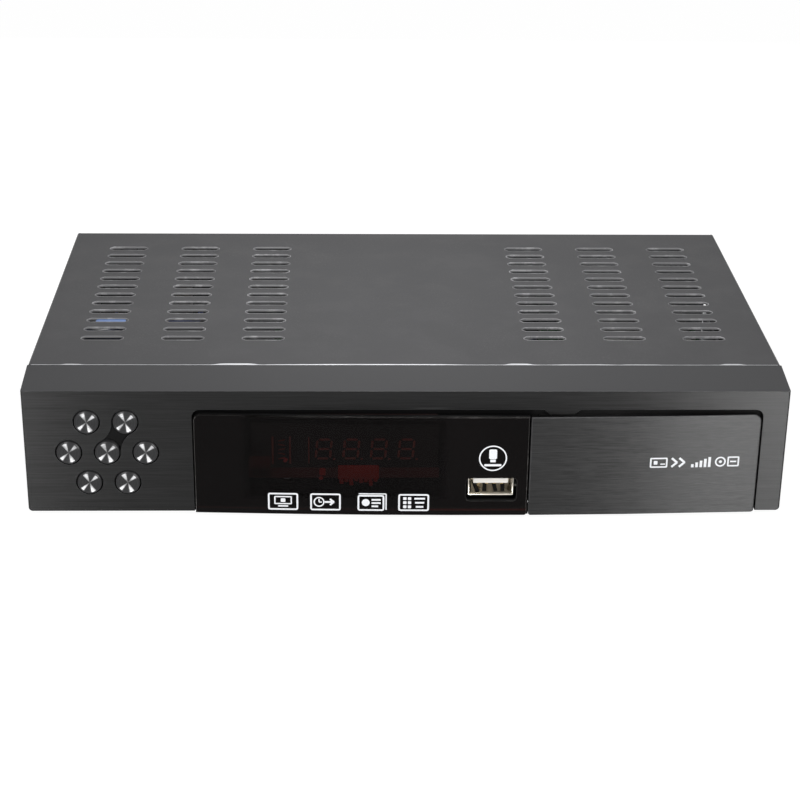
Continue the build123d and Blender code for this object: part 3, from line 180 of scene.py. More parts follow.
def joined(x=0.0, y=0.0, z=0.0):
    """A vector from its X, Y and Z, of which at least one is another node's output."""
    source = next(v for v in (x, y, z) if linked(v))
    return node(source, "CombineXYZ", given=(x, y, z)).outputs[0]


def places(tree):
    """Places on the piece in millimetres."""
    source = node(tree, "TexCoord").outputs["Object"]
    return node(tree, "Mapping", Vector=source, Scale=(1 / MM, 1 / MM, 1 / MM)).outputs[0]


def facing(source):
    """The direction that each face looks in."""
    return node(source, "TexCoord").outputs["Normal"]


def noise(place, scale, detail, roughness):
    """Cloudy noise from 0 to 1."""
    look = {"Scale": scale, "Detail": detail, "Roughness": roughness}
    return node(place, "TexNoise", Vector=place, **look).outputs[0]


def grey(level):
    """A neutral colour."""
    return (level, level, level)


def shade(colour, by, plus=0.0):
    """A colour made lighter or darker."""
    return [min(1.0, by * c + plus) for c in colour]


# -------------------- stage, camera and light


def studio():
    """A white table, a white surround and soft lamps, two of which show only in the gloss."""
    shape = bmesh.new()
    bmesh.ops.create_grid(shape, x_segments=1, y_segments=1, size=3.0)
    bmesh.ops.translate(shape, vec=(0, 0, -0.00005), verts=shape.verts)
    placed("table_top", meshed("table_top", shape, table_white()))
    bpy.context.scene.world = white_surround()
    # name, place, target, width and length, power
    lamp("roof_softbox", (0, -5, 212), (0, -5, 40), (110, 110), 0.255)
    lamp("right_lamp", (220, -520, 190), (40, -70, 24), (200, 300), 1.06, gloss=False)
    lamp("left_lamp", (-240, -520, 190), (-40, -70, 24), (200, 300), 1.33, gloss=False)
    lamp("rear_lamp", (0, 540, 130), (0, 70, 24), (420, 220), 0.8, gloss=False)
    lamp("right_gloss", (228, -470, 150), (60, -70, 24), (116, 300), 4.15, diffuse=False)
    lamp("left_gloss", (-226, -470, 150), (-60, -70, 24), (60, 300), 1.5, diffuse=False)


def seen_rays(tree):
    """1 for what the camera sees, straight or through gloss and glass."""
    path = node(tree, "LightPath").outputs
    straight = calc("MAXIMUM", path["Is Camera Ray"], path["Is Transmission Ray"])
    return calc("MAXIMUM", straight, path["Is Glossy Ray"])


def table_white():
    """A white table that keeps a soft shadow and can be looked through from below."""
    white = bpy.data.materials.new("table_white")
    tree = bare_tree(white)
    lit = node(tree, "BsdfDiffuse", Color=(0.8, 0.8, 0.8, 1)).outputs[0]
    faint = node(tree, "BsdfDiffuse", Color=(0.22, 0.22, 0.22, 1)).outputs[0]
    bright = node(tree, "Emission", Color=(1, 1, 1, 1), Strength=0.94).outputs[0]
    shown = node(tree, "AddShader", given=(faint, bright)).outputs[0]
    top = blend(seen_rays(tree), lit, shown)
    below = node(tree, "NewGeometry").outputs["Backfacing"]
    clear = node(tree, "BsdfTransparent").outputs[0]
    node(tree, "OutputMaterial", Surface=blend(below, top, clear))
    return white


def white_surround():
    """A plain level of light from all round, which looks white where it is seen."""
    world = bpy.data.worlds.new("surround")
    tree = bare_tree(world)
    strength = node(tree, "MapRange", Value=seen_rays(tree), To_Min=0.21, To_Max=1.0).outputs[0]
    back = node(tree, "Background", Color=(1, 1, 1, 1), Strength=strength).outputs[0]
    node(tree, "OutputWorld", Surface=back)
    return world


def lamp(name, place, target, size, power, diffuse=True, gloss=True):
    """One rectangular softbox that faces a point, and may light the colours or the gloss alone."""
    light = bpy.data.lights.new(name, "AREA")
    light.shape = "RECTANGLE"
    light.size, light.size_y = size[0] * MM, size[1] * MM
    light.energy = power
    holder = placed(name, light)
    holder.location = Vector(place) * MM
    holder.rotation_euler = (Vector(target) - Vector(place)).to_track_quat("-Z", "Y").to_euler()
    holder.visible_diffuse = diffuse
    holder.visible_glossy = gloss


def gloss_on_front():
    """Lets the two gloss lamps show in the front's own pieces alone."""
    front = bpy.data.collections.new("front_pieces")
    for made in bpy.data.objects:
        at_front = made.name.startswith(("front", "card", "display", "key", "usb"))
        if at_front and made.name.endswith(("_finished", "_cap")):
            front.objects.link(made)
    for name in ("right_gloss", "left_gloss"):
        bpy.data.objects[name].light_linking.receiver_collection = front


def camera():
    """The camera in front of the receiver, a little to the left and above."""
    pitch, yaw, roll = radians(23.963), radians(1.730), radians(-0.715)
    forward = Vector((sin(yaw) * cos(pitch), cos(yaw) * cos(pitch), -sin(pitch)))
    level = Vector((cos(yaw), -sin(yaw), 0))
    upward = level.cross(forward)
    right = cos(roll) * level - sin(roll) * upward
    up = sin(roll) * level + cos(roll) * upward
    seen = bpy.data.cameras.new("front_camera")
    seen.lens = 88.344
    seen.sensor_width = 36.0
    holder = placed("front_camera", seen)
    place = Matrix.Translation(Vector((-19.217, -633.387, 290.255)) * MM)
    holder.matrix_world = place @ Matrix((right, up, -forward)).transposed().to_4x4()
    bpy.context.scene.camera = holder


# -------------------- shared effects

EFFECTS = {}


def group(name, inputs, outputs):
    """A new effect: its inner inputs and outputs. An input of None is a vector."""
    tree = EFFECTS[name] = bpy.data.node_groups.new(name, "ShaderNodeTree")
    for label, value in inputs.items():
        kind = "NodeSocketVector" if value is None else "NodeSocketFloat"
        socket = tree.interface.new_socket(label, in_out="INPUT", socket_type=kind)
        if value is not None:
            socket.default_value = value
    for label in outputs:
        tree.interface.new_socket(label, in_out="OUTPUT", socket_type="NodeSocketFloat")
    return tree.nodes.new("NodeGroupInput").outputs, tree.nodes.new("NodeGroupOutput").inputs


def use(effect, place, **values):
    """A shared effect placed in a material with its own values."""
    made = place.id_data.nodes.new("ShaderNodeGroup")
    made.node_tree = EFFECTS[effect]
    for name, value in {"Place": place, **values}.items():
        feed(made.inputs[name], value)
    return made.outputs


def brushing_effect():
    """Fine lines along X, with a few longer and deeper ones."""
    given, result = group("brushing", {"Place": None, "Length": 18.0}, ("Lines", "Height"))
    x, y, z = apart(given["Place"])
    along = calc("DIVIDE", x, given["Length"])
    fine = noise(joined(along, times(y, 6.0), times(z, 6.0)), 1.0, 4.0, 0.65)
    broad = noise(joined(times(along, 0.35), y, times(z, 1.4)), 1.0, 2.0, 0.5)
    both = calc("ADD", times(fine, 0.75), times(broad, 0.25))
    feed(result["Lines"], span(both, 0.34, 0.66))
    feed(result["Height"], both)


def grain_effect():
    """The fine, even texture of moulded plastic and powder paint."""
    given, result = group("grain", {"Place": None, "Size": 0.4}, ("Grain", "Cloud"))
    place = given["Place"]
    feed(result["Grain"], noise(place, calc("DIVIDE", 1.0, given["Size"]), 2.0, 0.6))
    feed(result["Cloud"], span(noise(place, 0.035, 3.0, 0.5), 0.3, 0.7))


def handling_effect():
    """Where hands and cloths have been: soft smears and a few fine scratches."""
    given, result = group("handling", {"Place": None}, ("Smear", "Scratch"))
    place = given["Place"]
    feed(result["Smear"], span(noise(place, 0.07, 4.0, 0.6), 0.42, 0.72))
    drawn_out = {"Rotation": (0.5, 0.35, 0.6), "Scale": (0.02, 1.3, 1.3)}
    lines = node(place, "Mapping", Vector=place, **drawn_out).outputs[0]
    feed(result["Scratch"], span(noise(lines, 1.0, 2.0, 0.5), 0.73, 0.78))


def wear_and_highlight_on_edges_effect():
    """Lighter softened edges, which carry the attribute edge: uneven rubbing, and in the window,
    the cover and the front also a painted highlight.
    """
    values = {"Place": None, "Amount": 0.5, "Even": 0.0}
    given, result = group("wear_and_highlight_on_edges", values, ("Wear_and_highlight",))
    place = given["Place"]
    edge = node(place, "Attribute", {"attribute_name": "edge"}).outputs["Fac"]
    patches = span(noise(place, 0.22, 4.0, 0.65), 0.35, 0.7)
    feed(result["Wear_and_highlight"], times(edge, calc("MAXIMUM", patches, given["Even"]), given["Amount"]))


def dust_effect():
    """A thin fall of dust on faces that look up."""
    values = {"Place": None, "Facing": None, "Amount": 0.2}
    given, result = group("dust", values, ("Dust",))
    specks = span(noise(given["Place"], 1.6, 3.0, 0.7), 0.5, 0.75)
    patches = span(noise(given["Place"], 0.05, 3.0, 0.6), 0.3, 0.75)
    up = span(apart(given["Facing"])[2], 0.4, 0.95)
    feed(result["Dust"], times(specks, patches, up, given["Amount"]))


def spangle_effect():
    """The frosty crystals of galvanised sheet."""
    given, result = group("spangle", {"Place": None}, ("Crystal", "Rim"))
    place, size = given["Place"], 0.22
    tone = node(place, "TexVoronoi", Vector=place, Scale=size).outputs["Color"]
    feed(result["Crystal"], node(place, "SeparateColor", Color=tone).outputs[0])
    rims = {"feature": "DISTANCE_TO_EDGE"}
    rim = node(place, "TexVoronoi", rims, Vector=place, Scale=size).outputs["Distance"]
    feed(result["Rim"], span(rim, 0.0, 0.06, 1.0, 0.0))


def tracks_effect():
    """Copper tracks and solder pads under a board's lacquer."""
    given, result = group("tracks", {"Place": None}, ("Track", "Pad"))
    place = given["Place"]
    blocks = {"distance": "MANHATTAN", "feature": "DISTANCE_TO_EDGE"}
    lanes = node(place, "TexVoronoi", blocks, Vector=place, Scale=0.16).outputs["Distance"]
    feed(result["Track"], span(calc("FRACT", times(lanes, 9.0)), 0.42, 0.5))
    dots = node(place, "TexVoronoi", Vector=place, Scale=0.42).outputs["Distance"]
    feed(result["Pad"], span(dots, 0.2, 0.26, 1.0, 0.0))


brushing_effect()
grain_effect()
handling_effect()
wear_and_highlight_on_edges_effect()
dust_effect()
spangle_effect()
tracks_effect()

# -------------------- finishes

FINISHES = {}


def surface(name, metallic=0.0, specular=0.5, ior=1.5, **plain):
    """A new finish with one Principled shader: its places and the shader's inputs."""
    made = FINISHES[name] = bpy.data.materials.new(name)
    tree = bare_tree(made)
    values = {"Metallic": metallic, "Specular IOR Level": specular, "IOR": ior, **plain}
    shader = node(tree, "BsdfPrincipled", **values)
    node(tree, "OutputMaterial", Surface=shader.outputs[0])
    return places(tree), shader.inputs


def dress(shader, colour, rough, height, deep):
    """Gives a shader its colour, its roughness and a relief of some depth in millimetres."""
    feed(shader["Base Color"], colour)
    feed(shader["Roughness"], rough)
    relief = node(height, "Bump", Height=height, Strength=1.0, Distance=deep * MM).outputs[0]
    feed(shader["Normal"], relief)


def painted_sheet():
    """The cover's matt dark grey paint, lighter round its slots: partly worn thin, partly a painted
    highlight on the rims and the slot walls.
    """
    place, shader = surface("cover_paint", specular=0.14)
    grain = use("grain", place, Size=0.35)
    marks = use("handling", place)
    wear_and_edge_highlight = use("wear_and_highlight_on_edges", place, Amount=0.9, Even=0.5)["Wear_and_highlight"]
    dust = use("dust", place, Facing=facing(place), Amount=0.1)["Dust"]
    paint = tint(grain["Cloud"], (0.0534, 0.0529, 0.0556), (0.0578, 0.0572, 0.06))
    paint = tint(times(marks["Scratch"], 0.12), paint, (0.2, 0.2, 0.21))
    paint = tint(dust, paint, (0.36, 0.35, 0.34))
    # Painted highlight and wear: the marked rims, walls and edges turn light grey.
    paint = tint(wear_and_edge_highlight, paint, (0.4, 0.4, 0.41))
    dress(shader, paint, span(marks["Smear"], 0.0, 1.0, 0.51, 0.48), grain["Grain"], 0.012)


def brushed_plastic(name, smooth, dark, light):
    """Dark plastic with its front face brushed along X, and smooth elsewhere and in recesses. Faces
    that look up are painted lighter: a painted sheen from the light above.
    """
    place, shader = surface(name, Anisotropic=1.0)
    feed(shader["Tangent"], node(place, "CombineXYZ", Z=1.0).outputs[0])
    lines = use("brushing", place, Length=14.0)
    grain = use("grain", place, Size=0.3)
    scratch = use("handling", place)["Scratch"]
    wear_and_edge_highlight = use("wear_and_highlight_on_edges", place, Amount=0.4)["Wear_and_highlight"]
    _, looks_back, looks_up = apart(facing(place))
    outside = calc("LESS_THAN", apart(place)[1], FACE_Y + 0.2)
    front = times(calc("LESS_THAN", looks_back, -0.9), outside)
    painted_top_sheen = span(looks_up, 0.5, 0.8)
    brushed = tint(lines["Lines"], dark, light)
    brushed = tint(times(scratch, 0.1), brushed, grey(0.2))
    plain = tint(grain["Cloud"], smooth, shade(smooth, 1.12))
    # Painted sheen: faces that look up are made lighter.
    plain = tint(painted_top_sheen, plain, shade(smooth, 1.6))
    body = tint(wear_and_edge_highlight, tint(front, plain, brushed), (0.2, 0.2, 0.205))
    feed(shader["Specular IOR Level"], span(painted_top_sheen, 0.0, 1.0, 0.2, 0.04))
    rough = calc("ADD", 0.5, times(front, span(lines["Lines"], 0.0, 1.0, -0.2, -0.08)))
    height = calc("ADD", times(front, lines["Height"]), times(grain["Grain"], 0.35))
    dress(shader, body, rough, height, 0.02)


def moulded(name, colour, rough=0.55, size=0.3, height=0.02, gloss=0.5, painted_shade_to=None):
    """Plain moulded plastic with a fine texture, which may carry painted shade, near black, up to
    an X.
    """
    place, shader = surface(name, specular=gloss)
    grain = use("grain", place, Size=size)
    smear = use("handling", place)["Smear"]
    wear_and_edge_highlight = use("wear_and_highlight_on_edges", place, Amount=0.3)["Wear_and_highlight"]
    body = tint(grain["Cloud"], shade(colour, 0.8), shade(colour, 1.2, 0.01))
    body = tint(wear_and_edge_highlight, body, shade(colour, 2, 0.04))
    # Painted shade: near black up to an X, for the shade that lies there.
    if painted_shade_to is not None:
        clear_of_painted_shade = span(apart(place)[0], painted_shade_to - 1.0, painted_shade_to + 1.0)
        body = tint(clear_of_painted_shade, (0.0026, 0.0026, 0.0028), body)
    dress(shader, body, span(smear, 0.0, 1.0, rough, rough - 0.09), grain["Grain"], height)


def plated(name, colour, rough=0.25, lines=0.004, metallic=1.0):
    """Plated or bare metal with faint drawing lines."""
    place, shader = surface(name, metallic=metallic)
    drawn = use("brushing", place, Length=9.0)
    smear = use("handling", place)["Smear"]
    body = tint(drawn["Lines"], shade(colour, 0.82), colour)
    body = tint(times(smear, 0.25), body, shade(colour, 0.7))
    dress(shader, body, span(smear, 0.0, 1.0, rough, rough + 0.14), drawn["Height"], lines)


def galvanised():
    """The tray's bright galvanised sheet."""
    place, shader = surface("tray_steel", metallic=0.9)
    crystal, rim = use("spangle", place)
    scratch = use("handling", place)["Scratch"]
    zinc = tint(crystal, (0.46, 0.47, 0.48), (0.6, 0.61, 0.62))
    zinc = tint(times(rim, 0.3), zinc, (0.68, 0.69, 0.7))
    zinc = tint(times(scratch, 0.4), zinc, grey(0.75))
    dress(shader, zinc, span(crystal, 0.0, 1.0, 0.34, 0.52), crystal, 0.006)


def circuit(name, lacquer, copper, rough=0.35):
    """A circuit board with tracks under its lacquer and tinned pads."""
    place, shader = surface(name)
    track, pad = use("tracks", place)
    grain = use("grain", place, Size=0.25)
    body = tint(track, lacquer, copper)
    body = tint(times(grain["Cloud"], 0.25), body, shade(lacquer, 0.6))
    body = tint(pad, body, (0.55, 0.54, 0.5))
    feed(shader["Metallic"], times(pad, 0.8))
    rough = span(grain["Grain"], 0.3, 0.7, rough - 0.05, rough + 0.08)
    dress(shader, body, rough, calc("ADD", track, times(pad, 2.0)), 0.03)


def tinted_window():
    """The smoky polished plastic, clearest before the display and the eye, with painted red light
    along its foot and painted highlights on its edges.
    """
    place, shader = surface("window_plastic", specular=0.04, ior=1.49)
    x, _, z = apart(place)
    clear = times(span(x, -53.0, -49.0), span(x, 10.0, 14.0, 1.0, 0.0), span(z, 7.5, 10.5))
    feed(shader["Alpha"], calc("SUBTRACT", 0.96, times(clear, 0.36)))
    smear, scratch = use("handling", place)
    haze = use("grain", place, Size=2.0)["Cloud"]
    wear_and_edge_highlight = use("wear_and_highlight_on_edges", place, Amount=0.85, Even=0.45)["Wear_and_highlight"]
    highlight_reach = calc("MAXIMUM", calc("LESS_THAN", x, -66.0), span(x, -46.0, -28.0, 0.15, 1.0))
    # Painted light: a dark red band along the foot, for the floor's light seen through the tinted
    # plastic.
    foot = times(span(z, 4.7, 5.0), span(z, 5.2, 5.5, 1.0, 0.0), span(x, 2.0, 12.0, 0.2, 1.0))
    smoke = tint(haze, (0.0042, 0.0036, 0.0036), (0.005, 0.0042, 0.0042))
    smoke = tint(foot, smoke, (0.024, 0.006, 0.005))
    # Painted highlight: the edges turn light grey, faint from X = -66 to -46 and full from -28.
    smoke = tint(times(wear_and_edge_highlight, highlight_reach), smoke, (0.34, 0.33, 0.32))
    dress(shader, smoke, span(smear, 0.0, 1.0, 0.04, 0.09), scratch, 0.0006)


def print_ink():
    """White screen printing, a little thin in places."""
    place, shader = surface("print_white", specular=0.3)
    grain = use("grain", place, Size=0.12)["Grain"]
    ink = tint(span(grain, 0.35, 0.6), (0.82, 0.84, 0.88), (0.93, 0.94, 0.96))
    dress(shader, ink, span(grain, 0.3, 0.7, 0.5, 0.6), grain, 0.004)


def spun_face():
    """Dark metal turned in rings, from the key's own map, with four bright spokes on each face that
    are painted highlights.
    """
    place, shader = surface("key_metal", specular=0.3, Anisotropic=0.95)
    across, high, _ = apart(node(place, "UVMap", {"uv_map": "turned"}).outputs[0])
    outward = joined(calc("SUBTRACT", across, 0.5), 0.0, calc("SUBTRACT", high, 0.5))
    radius = node(place, "VectorMath", {"operation": "LENGTH"}, (outward,)).outputs["Value"]
    radius = times(radius, MAP_SIZE)
    unit = node(place, "VectorMath", {"operation": "NORMALIZE"}, (outward,)).outputs[0]
    feed(shader["Tangent"], unit)
    ring = span(noise(joined(times(radius, 6.0)), 1.0, 4.0, 0.7), 0.35, 0.65)
    painted_highlights = []
    # Painted highlight: two pairs of bright spokes, at the angles where the front lamps light the
    # turned rings.
    for angle, inner, outer in ((43, 4, 14), (112, 5, 18)):
        aim = (cos(radians(angle)), 0, sin(radians(angle)))
        along = node(unit, "VectorMath", {"operation": "DOT_PRODUCT"}, (unit, aim)).outputs["Value"]
        painted_highlights.append(span(calc("ABSOLUTE", along), cos(radians(outer)), cos(radians(inner))))
    painted_highlight = times(calc("MAXIMUM", *painted_highlights), span(radius, 0.2, 2.6, 0.25, 1.0))
    patchy = span(noise(place, 0.5, 2.0, 0.5), 0.3, 0.5, 0.6, 1.0)
    grooved = calc("ADD", 0.75, times(ring, 0.25))
    painted_highlight = times(painted_highlight, span(radius, 3.15, 3.4, 1.0, 0.0), patchy, grooved)
    smear = use("handling", place)["Smear"]
    wear_and_edge_highlight = use("wear_and_highlight_on_edges", place, Amount=0.6)["Wear_and_highlight"]
    body = tint(ring, (0.003, 0.003, 0.0032), (0.036, 0.036, 0.038))
    # The spokes of painted highlight turn the face light and partly metallic.
    body = tint(painted_highlight, body, (0.66, 0.66, 0.67))
    body = tint(wear_and_edge_highlight, body, (0.25, 0.25, 0.26))
    feed(shader["Metallic"], times(painted_highlight, 0.5))
    rough = calc("ADD", span(smear, 0.0, 1.0, 0.26, 0.32), times(ring, 0.16))
    dress(shader, body, rough, ring, 0.003)


painted_sheet()
galvanised()
tinted_window()
spun_face()
print_ink()
brushed_plastic("panel_plastic", (0.05, 0.05, 0.0515), grey(0.006), (0.0155, 0.0155, 0.0158))
brushed_plastic("door_plastic", (0.05, 0.05, 0.0515), grey(0.012), (0.03, 0.03, 0.0305))
circuit("front_circuit", (0.006, 0.01, 0.007), (0.01, 0.016, 0.011))
circuit("main_circuit", (0.018, 0.085, 0.03), (0.05, 0.17, 0.05))
circuit("psu_circuit", (0.36, 0.25, 0.1), (0.42, 0.31, 0.14), 0.5)
# colour, roughness, size and height of the grain, gloss
moulded("foot_rubber", grey(0.028), 0.8, 0.5, 0.05, 0.2)
# The carrier is near black left of X = 39.5: painted shade over the window.
moulded("carrier_plastic", grey(0.009), 0.72, 0.3, 0.02, 0.04, painted_shade_to=39.5)
moulded("plunger_plastic", grey(0.04))
moulded("switch_plastic", (0.025, 0.025, 0.027))
moulded("display_resin", (0.035, 0.008, 0.008), 0.3, 0.5, 0.004)
moulded("eye_resin", (0.02, 0.008, 0.01), 0.15, 0.5, 0.002)
moulded("lamp_resin", (0.45, 0.03, 0.03), 0.2, 0.5, 0.002)
moulded("ribbon_plastic", (0.55, 0.55, 0.52), 0.5)
moulded("wire_plastic", (0.05, 0.08, 0.3), 0.45)
moulded("chip_resin", grey(0.018), 0.6)
moulded("capacitor_sleeve", (0.03, 0.04, 0.09), 0.3, 0.5, 0.004)
moulded("jack_plastic", grey(0.022), 0.5)
moulded("ferrite", grey(0.05), 0.7)
moulded("inlet_plastic", grey(0.02), 0.5)
moulded("rocker_plastic", grey(0.022), 0.3, 0.4, 0.01)
moulded("matt_black", (0.011, 0.011, 0.0112), 0.8, 0.3, 0.02, 0.0)
moulded("tongue_white", (0.74, 0.72, 0.68), 0.4)
moulded("unlit_red", (0.42, 0.05, 0.03), 0.4, 0.5, 0.004)
# painted glow, bright and faint, for the indicator's red light
moulded("painted_glow", (0.85, 0.035, 0.02), 0.5, 0.5, 0.01)
moulded("faint_painted_glow", (0.14, 0.012, 0.008), 0.5, 0.5, 0.01)
moulded("filter_foil", (0.014, 0.004, 0.004), 0.5, 0.5, 0.01)
moulded("blue_foil", (0.1, 0.18, 0.4), 0.4, 0.5, 0.004)
moulded("jack_yellow", (0.72, 0.5, 0.03), 0.35)
moulded("jack_white", (0.72, 0.72, 0.7), 0.35)
moulded("jack_red", (0.5, 0.02, 0.02), 0.35)
# colour, roughness, height of the drawing lines, share of bare metal
plated("screw_steel", (0.1, 0.1, 0.105), 0.35, 0.004, 0.8)
plated("hinge_steel", grey(0.58))
plated("shield_steel", (0.62, 0.62, 0.6), 0.38)
plated("jack_nickel", (0.66, 0.62, 0.54), 0.2)
plated("sink_aluminium", (0.7, 0.7, 0.71), 0.35, 0.01)
plated("pin_brass", (0.72, 0.64, 0.45), 0.22)
plated("contact_gold", (0.8, 0.62, 0.32), 0.25)
plated("bright_edge_metal", (0.66, 0.67, 0.69), 0.45, 0.004, 0.3)
plated("cap_aluminium", grey(0.6), 0.4)


def dress_nodes():
    """Every CAD node takes the finish of its material slot."""
    for name, slot in SLOT_OF.items():
        mesh = NODES[name].data
        mesh.materials.clear()
        mesh.materials.append(FINISHES[slot])


# -------------------- shaping


def piece(name, shape, slot, smooth=None, stands_for=None, finish=None, body="housing"):
    """A finished piece from a shape in millimetres, which may stand for a CAD node."""
    bmesh.ops.scale(shape, vec=(MM, MM, MM), verts=shape.verts)
    mesh = meshed(name, shape, FINISHES[finish or slot])
    if smooth is not None:
        mesh.shade_smooth()
        mesh.set_sharp_from_angle(angle=radians(smooth))
    made = placed(name, mesh)
    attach(made, BODY_OF[stands_for] if stands_for else body)
    if stands_for:
        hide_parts(stands_for)
    return made


def merged(name):
    """A merged copy of a CAD node in millimetres, with its flat faces joined up."""
    shape = bmesh.new()
    shape.from_mesh(NODES[name].data)
    bmesh.ops.scale(shape, vec=(1 / MM, 1 / MM, 1 / MM), verts=shape.verts)
    bmesh.ops.remove_doubles(shape, verts=shape.verts, dist=0.002)
    flat = {"verts": shape.verts, "edges": shape.edges}
    bmesh.ops.dissolve_limit(shape, angle_limit=radians(0.5), **flat)
    shape.loops.layers.float.new("edge")
    return shape


def sharp_edges(shape, turn):
    """The outward edges of a shape where it turns by more than an angle."""
    joins = [e for e in shape.edges if len(e.link_faces) == 2]
    return [e for e in joins if e.calc_face_angle_signed(0.0) > radians(turn)]


def bevelled(shape, geom, width, affect="EDGES", segments=2):
    """Rounds edges or corners, and gives the new faces."""
    return bmesh.ops.bevel(
        shape, geom=geom, offset=width, offset_type="OFFSET", segments=segments, profile=0.5,
        affect=affect, material=-1, clamp_overlap=True,
    )["faces"]


def mark(shape, faces, amount):
    """Writes the attribute edge on every corner of some faces."""
    layer = shape.loops.layers.float["edge"]
    for face in faces:
        for corner in face.loops:
            corner[layer] = amount


def moved(shape, by, verts=None):
    """Moves some corners of a shape, or all."""
    bmesh.ops.translate(shape, vec=by, verts=verts or shape.verts)


def rotated(shape, matrix, verts=None, centre=(0, 0, 0)):
    """Turns some corners of a shape, or all, round a centre."""
    bmesh.ops.rotate(shape, cent=centre, matrix=matrix, verts=verts or shape.verts)


def turn_of(degrees, axis):
    """The matrix of a turn round an axis."""
    return Matrix.Rotation(radians(degrees), 3, axis)


def faces_of(verts):
    """The faces that meet some corners, in a steady order."""
    return list(dict.fromkeys(f for v in verts for f in v.link_faces))


def looking(shape, way, verts=None):
    """Turns the faces of some corners, or all, so that together they look along a direction."""
    faces = faces_of(verts or shape.verts)
    bmesh.ops.recalc_face_normals(shape, faces=faces)
    if sum(f.normal.dot(way) for f in faces) < 0:
        bmesh.ops.reverse_faces(shape, faces=faces)


def evened(made):
    """Keeps the broad faces flat beside their rounded edges."""
    weighted = made.modifiers.new("even_shading", "WEIGHTED_NORMAL")
    weighted.keep_sharp = True
    weighted.weight = 90


def softened(name, width, amount=0.6, slot=None, finish=None, inner=None):
    """A CAD node with small round edges. The faces that inner picks out are matt black."""
    shape = merged(name)
    for face in shape.faces:
        if inner and inner(face):
            face.material_index = 1
    mark(shape, bevelled(shape, sharp_edges(shape, 40.0), width), amount)
    made = piece(name + "_finished", shape, slot or SLOT_OF[name], 50, name, finish)
    evened(made)
    if inner:
        made.data.materials.append(FINISHES["matt_black"])
    return made


def turned(shape, profile, base, x, z, steps=48):
    """A form turned round an axis along Y. Its profile gives radii, and places after a base Y."""
    earlier = set(shape.verts)
    line = [shape.verts.new((radius, base + along, 0)) for radius, along in profile]
    line += [shape.edges.new(pair) for pair in zip(line, line[1:])]
    full = {"axis": (0, 1, 0), "cent": (0, 0, 0), "angle": 2 * pi, "use_merge": True}
    bmesh.ops.spin(shape, geom=line, steps=steps, **full)
    made = [v for v in shape.verts if v not in earlier]
    bmesh.ops.remove_doubles(shape, verts=made, dist=0.001)
    made = [v for v in shape.verts if v not in earlier]
    bmesh.ops.recalc_face_normals(shape, faces=faces_of(made))
    moved(shape, (x, 0, z), made)


def solid_bar(shape, across, deep, high, soft):
    """A block with softened edges, from its spans along X, Y and Z."""
    spans = (across, deep, high)
    made = bmesh.ops.create_cube(shape, size=1.0)["verts"]
    bmesh.ops.scale(shape, vec=[b - a for a, b in spans], verts=made)
    moved(shape, [(a + b) / 2 for a, b in spans], made)
    bevelled(shape, list(dict.fromkeys(e for v in made for e in v.link_edges)), soft)


# -------------------- printing
# Prints are drawn flat, in a plan of X and height, and stood up on the surface that carries them.


def flat_bar(plan, x, height, length, thick, turn=0.0, corner=0.0, segments=3):
    """A flat bar, turned by an angle in degrees, with rounded or clipped corners."""
    earlier = set(plan.faces)
    made = bmesh.ops.create_grid(plan, x_segments=1, y_segments=1, size=0.5)["verts"]
    bmesh.ops.scale(plan, vec=(length, thick, 1), verts=made)
    if corner:
        bevelled(plan, made, corner, "VERTICES", segments)
    face = next(f for f in plan.faces if f not in earlier)
    rotated(plan, turn_of(turn, "Z"), list(face.verts))
    moved(plan, (x, height, 0), list(face.verts))
    return face


def flat_bars(plan, *bars):
    """Some flat bars, each from the values that flat_bar takes."""
    for bar in bars:
        flat_bar(plan, *bar)


def flat_disc(plan, x, height, radius, sides=32):
    """A flat disc."""
    made = bmesh.ops.create_circle(plan, cap_ends=True, segments=sides, radius=radius)["verts"]
    moved(plan, (x, height, 0), made)
    return made[0].link_faces[0]


def outlined(plan, face, line):
    """Leaves only a line round a flat shape."""
    even = {"use_boundary": True, "use_even_offset": True}
    bmesh.ops.inset_region(plan, faces=[face], thickness=line, **even)
    bmesh.ops.delete(plan, geom=[face], context="FACES_ONLY")


def bow_y(x):
    """The bowed line of the window and the door."""
    radius, middle, proud = 1740.79, 22.35, 3.25
    return FACE_Y - proud + radius - sqrt(radius**2 - (x - middle) ** 2)


def stood_up(plan, surface_y, proud):
    """Turns a plan to face the front and lays it on a surface, whose Y is known at each X."""
    rotated(plan, turn_of(90, "X"))
    for vert in plan.verts:
        vert.co.y += surface_y(vert.co.x) - proud
    looking(plan, FRONT)


def laid_on(plan, name, start, proud):
    """Stands a plan up and lays its points on a CAD node, met along Y from a starting Y."""
    shape = merged(name)
    surface_of = BVHTree.FromBMesh(shape)
    outside = REAR if start > 0 else FRONT
    rotated(plan, turn_of(90, "X"))
    for vert in plan.verts:
        met = surface_of.ray_cast(Vector((vert.co.x, start, vert.co.z)), -outside)[0]
        vert.co.y = met.y + outside.y * proud
    shape.free()
    looking(plan, outside)


def printed(name, plan, body="housing"):
    """A white print from a plan that already lies on its surface."""
    piece(name, plan, "ribbon_plastic", finish="print_white", body=body)


def behind_window(name, plan, proud, slot, finish):
    """A flat piece that stands a little before the carrier's plate, behind the window."""
    stood_up(plan, lambda x: PLATE_Y, proud)
    piece(name, plan, slot, finish=finish)


# -------------------- cover


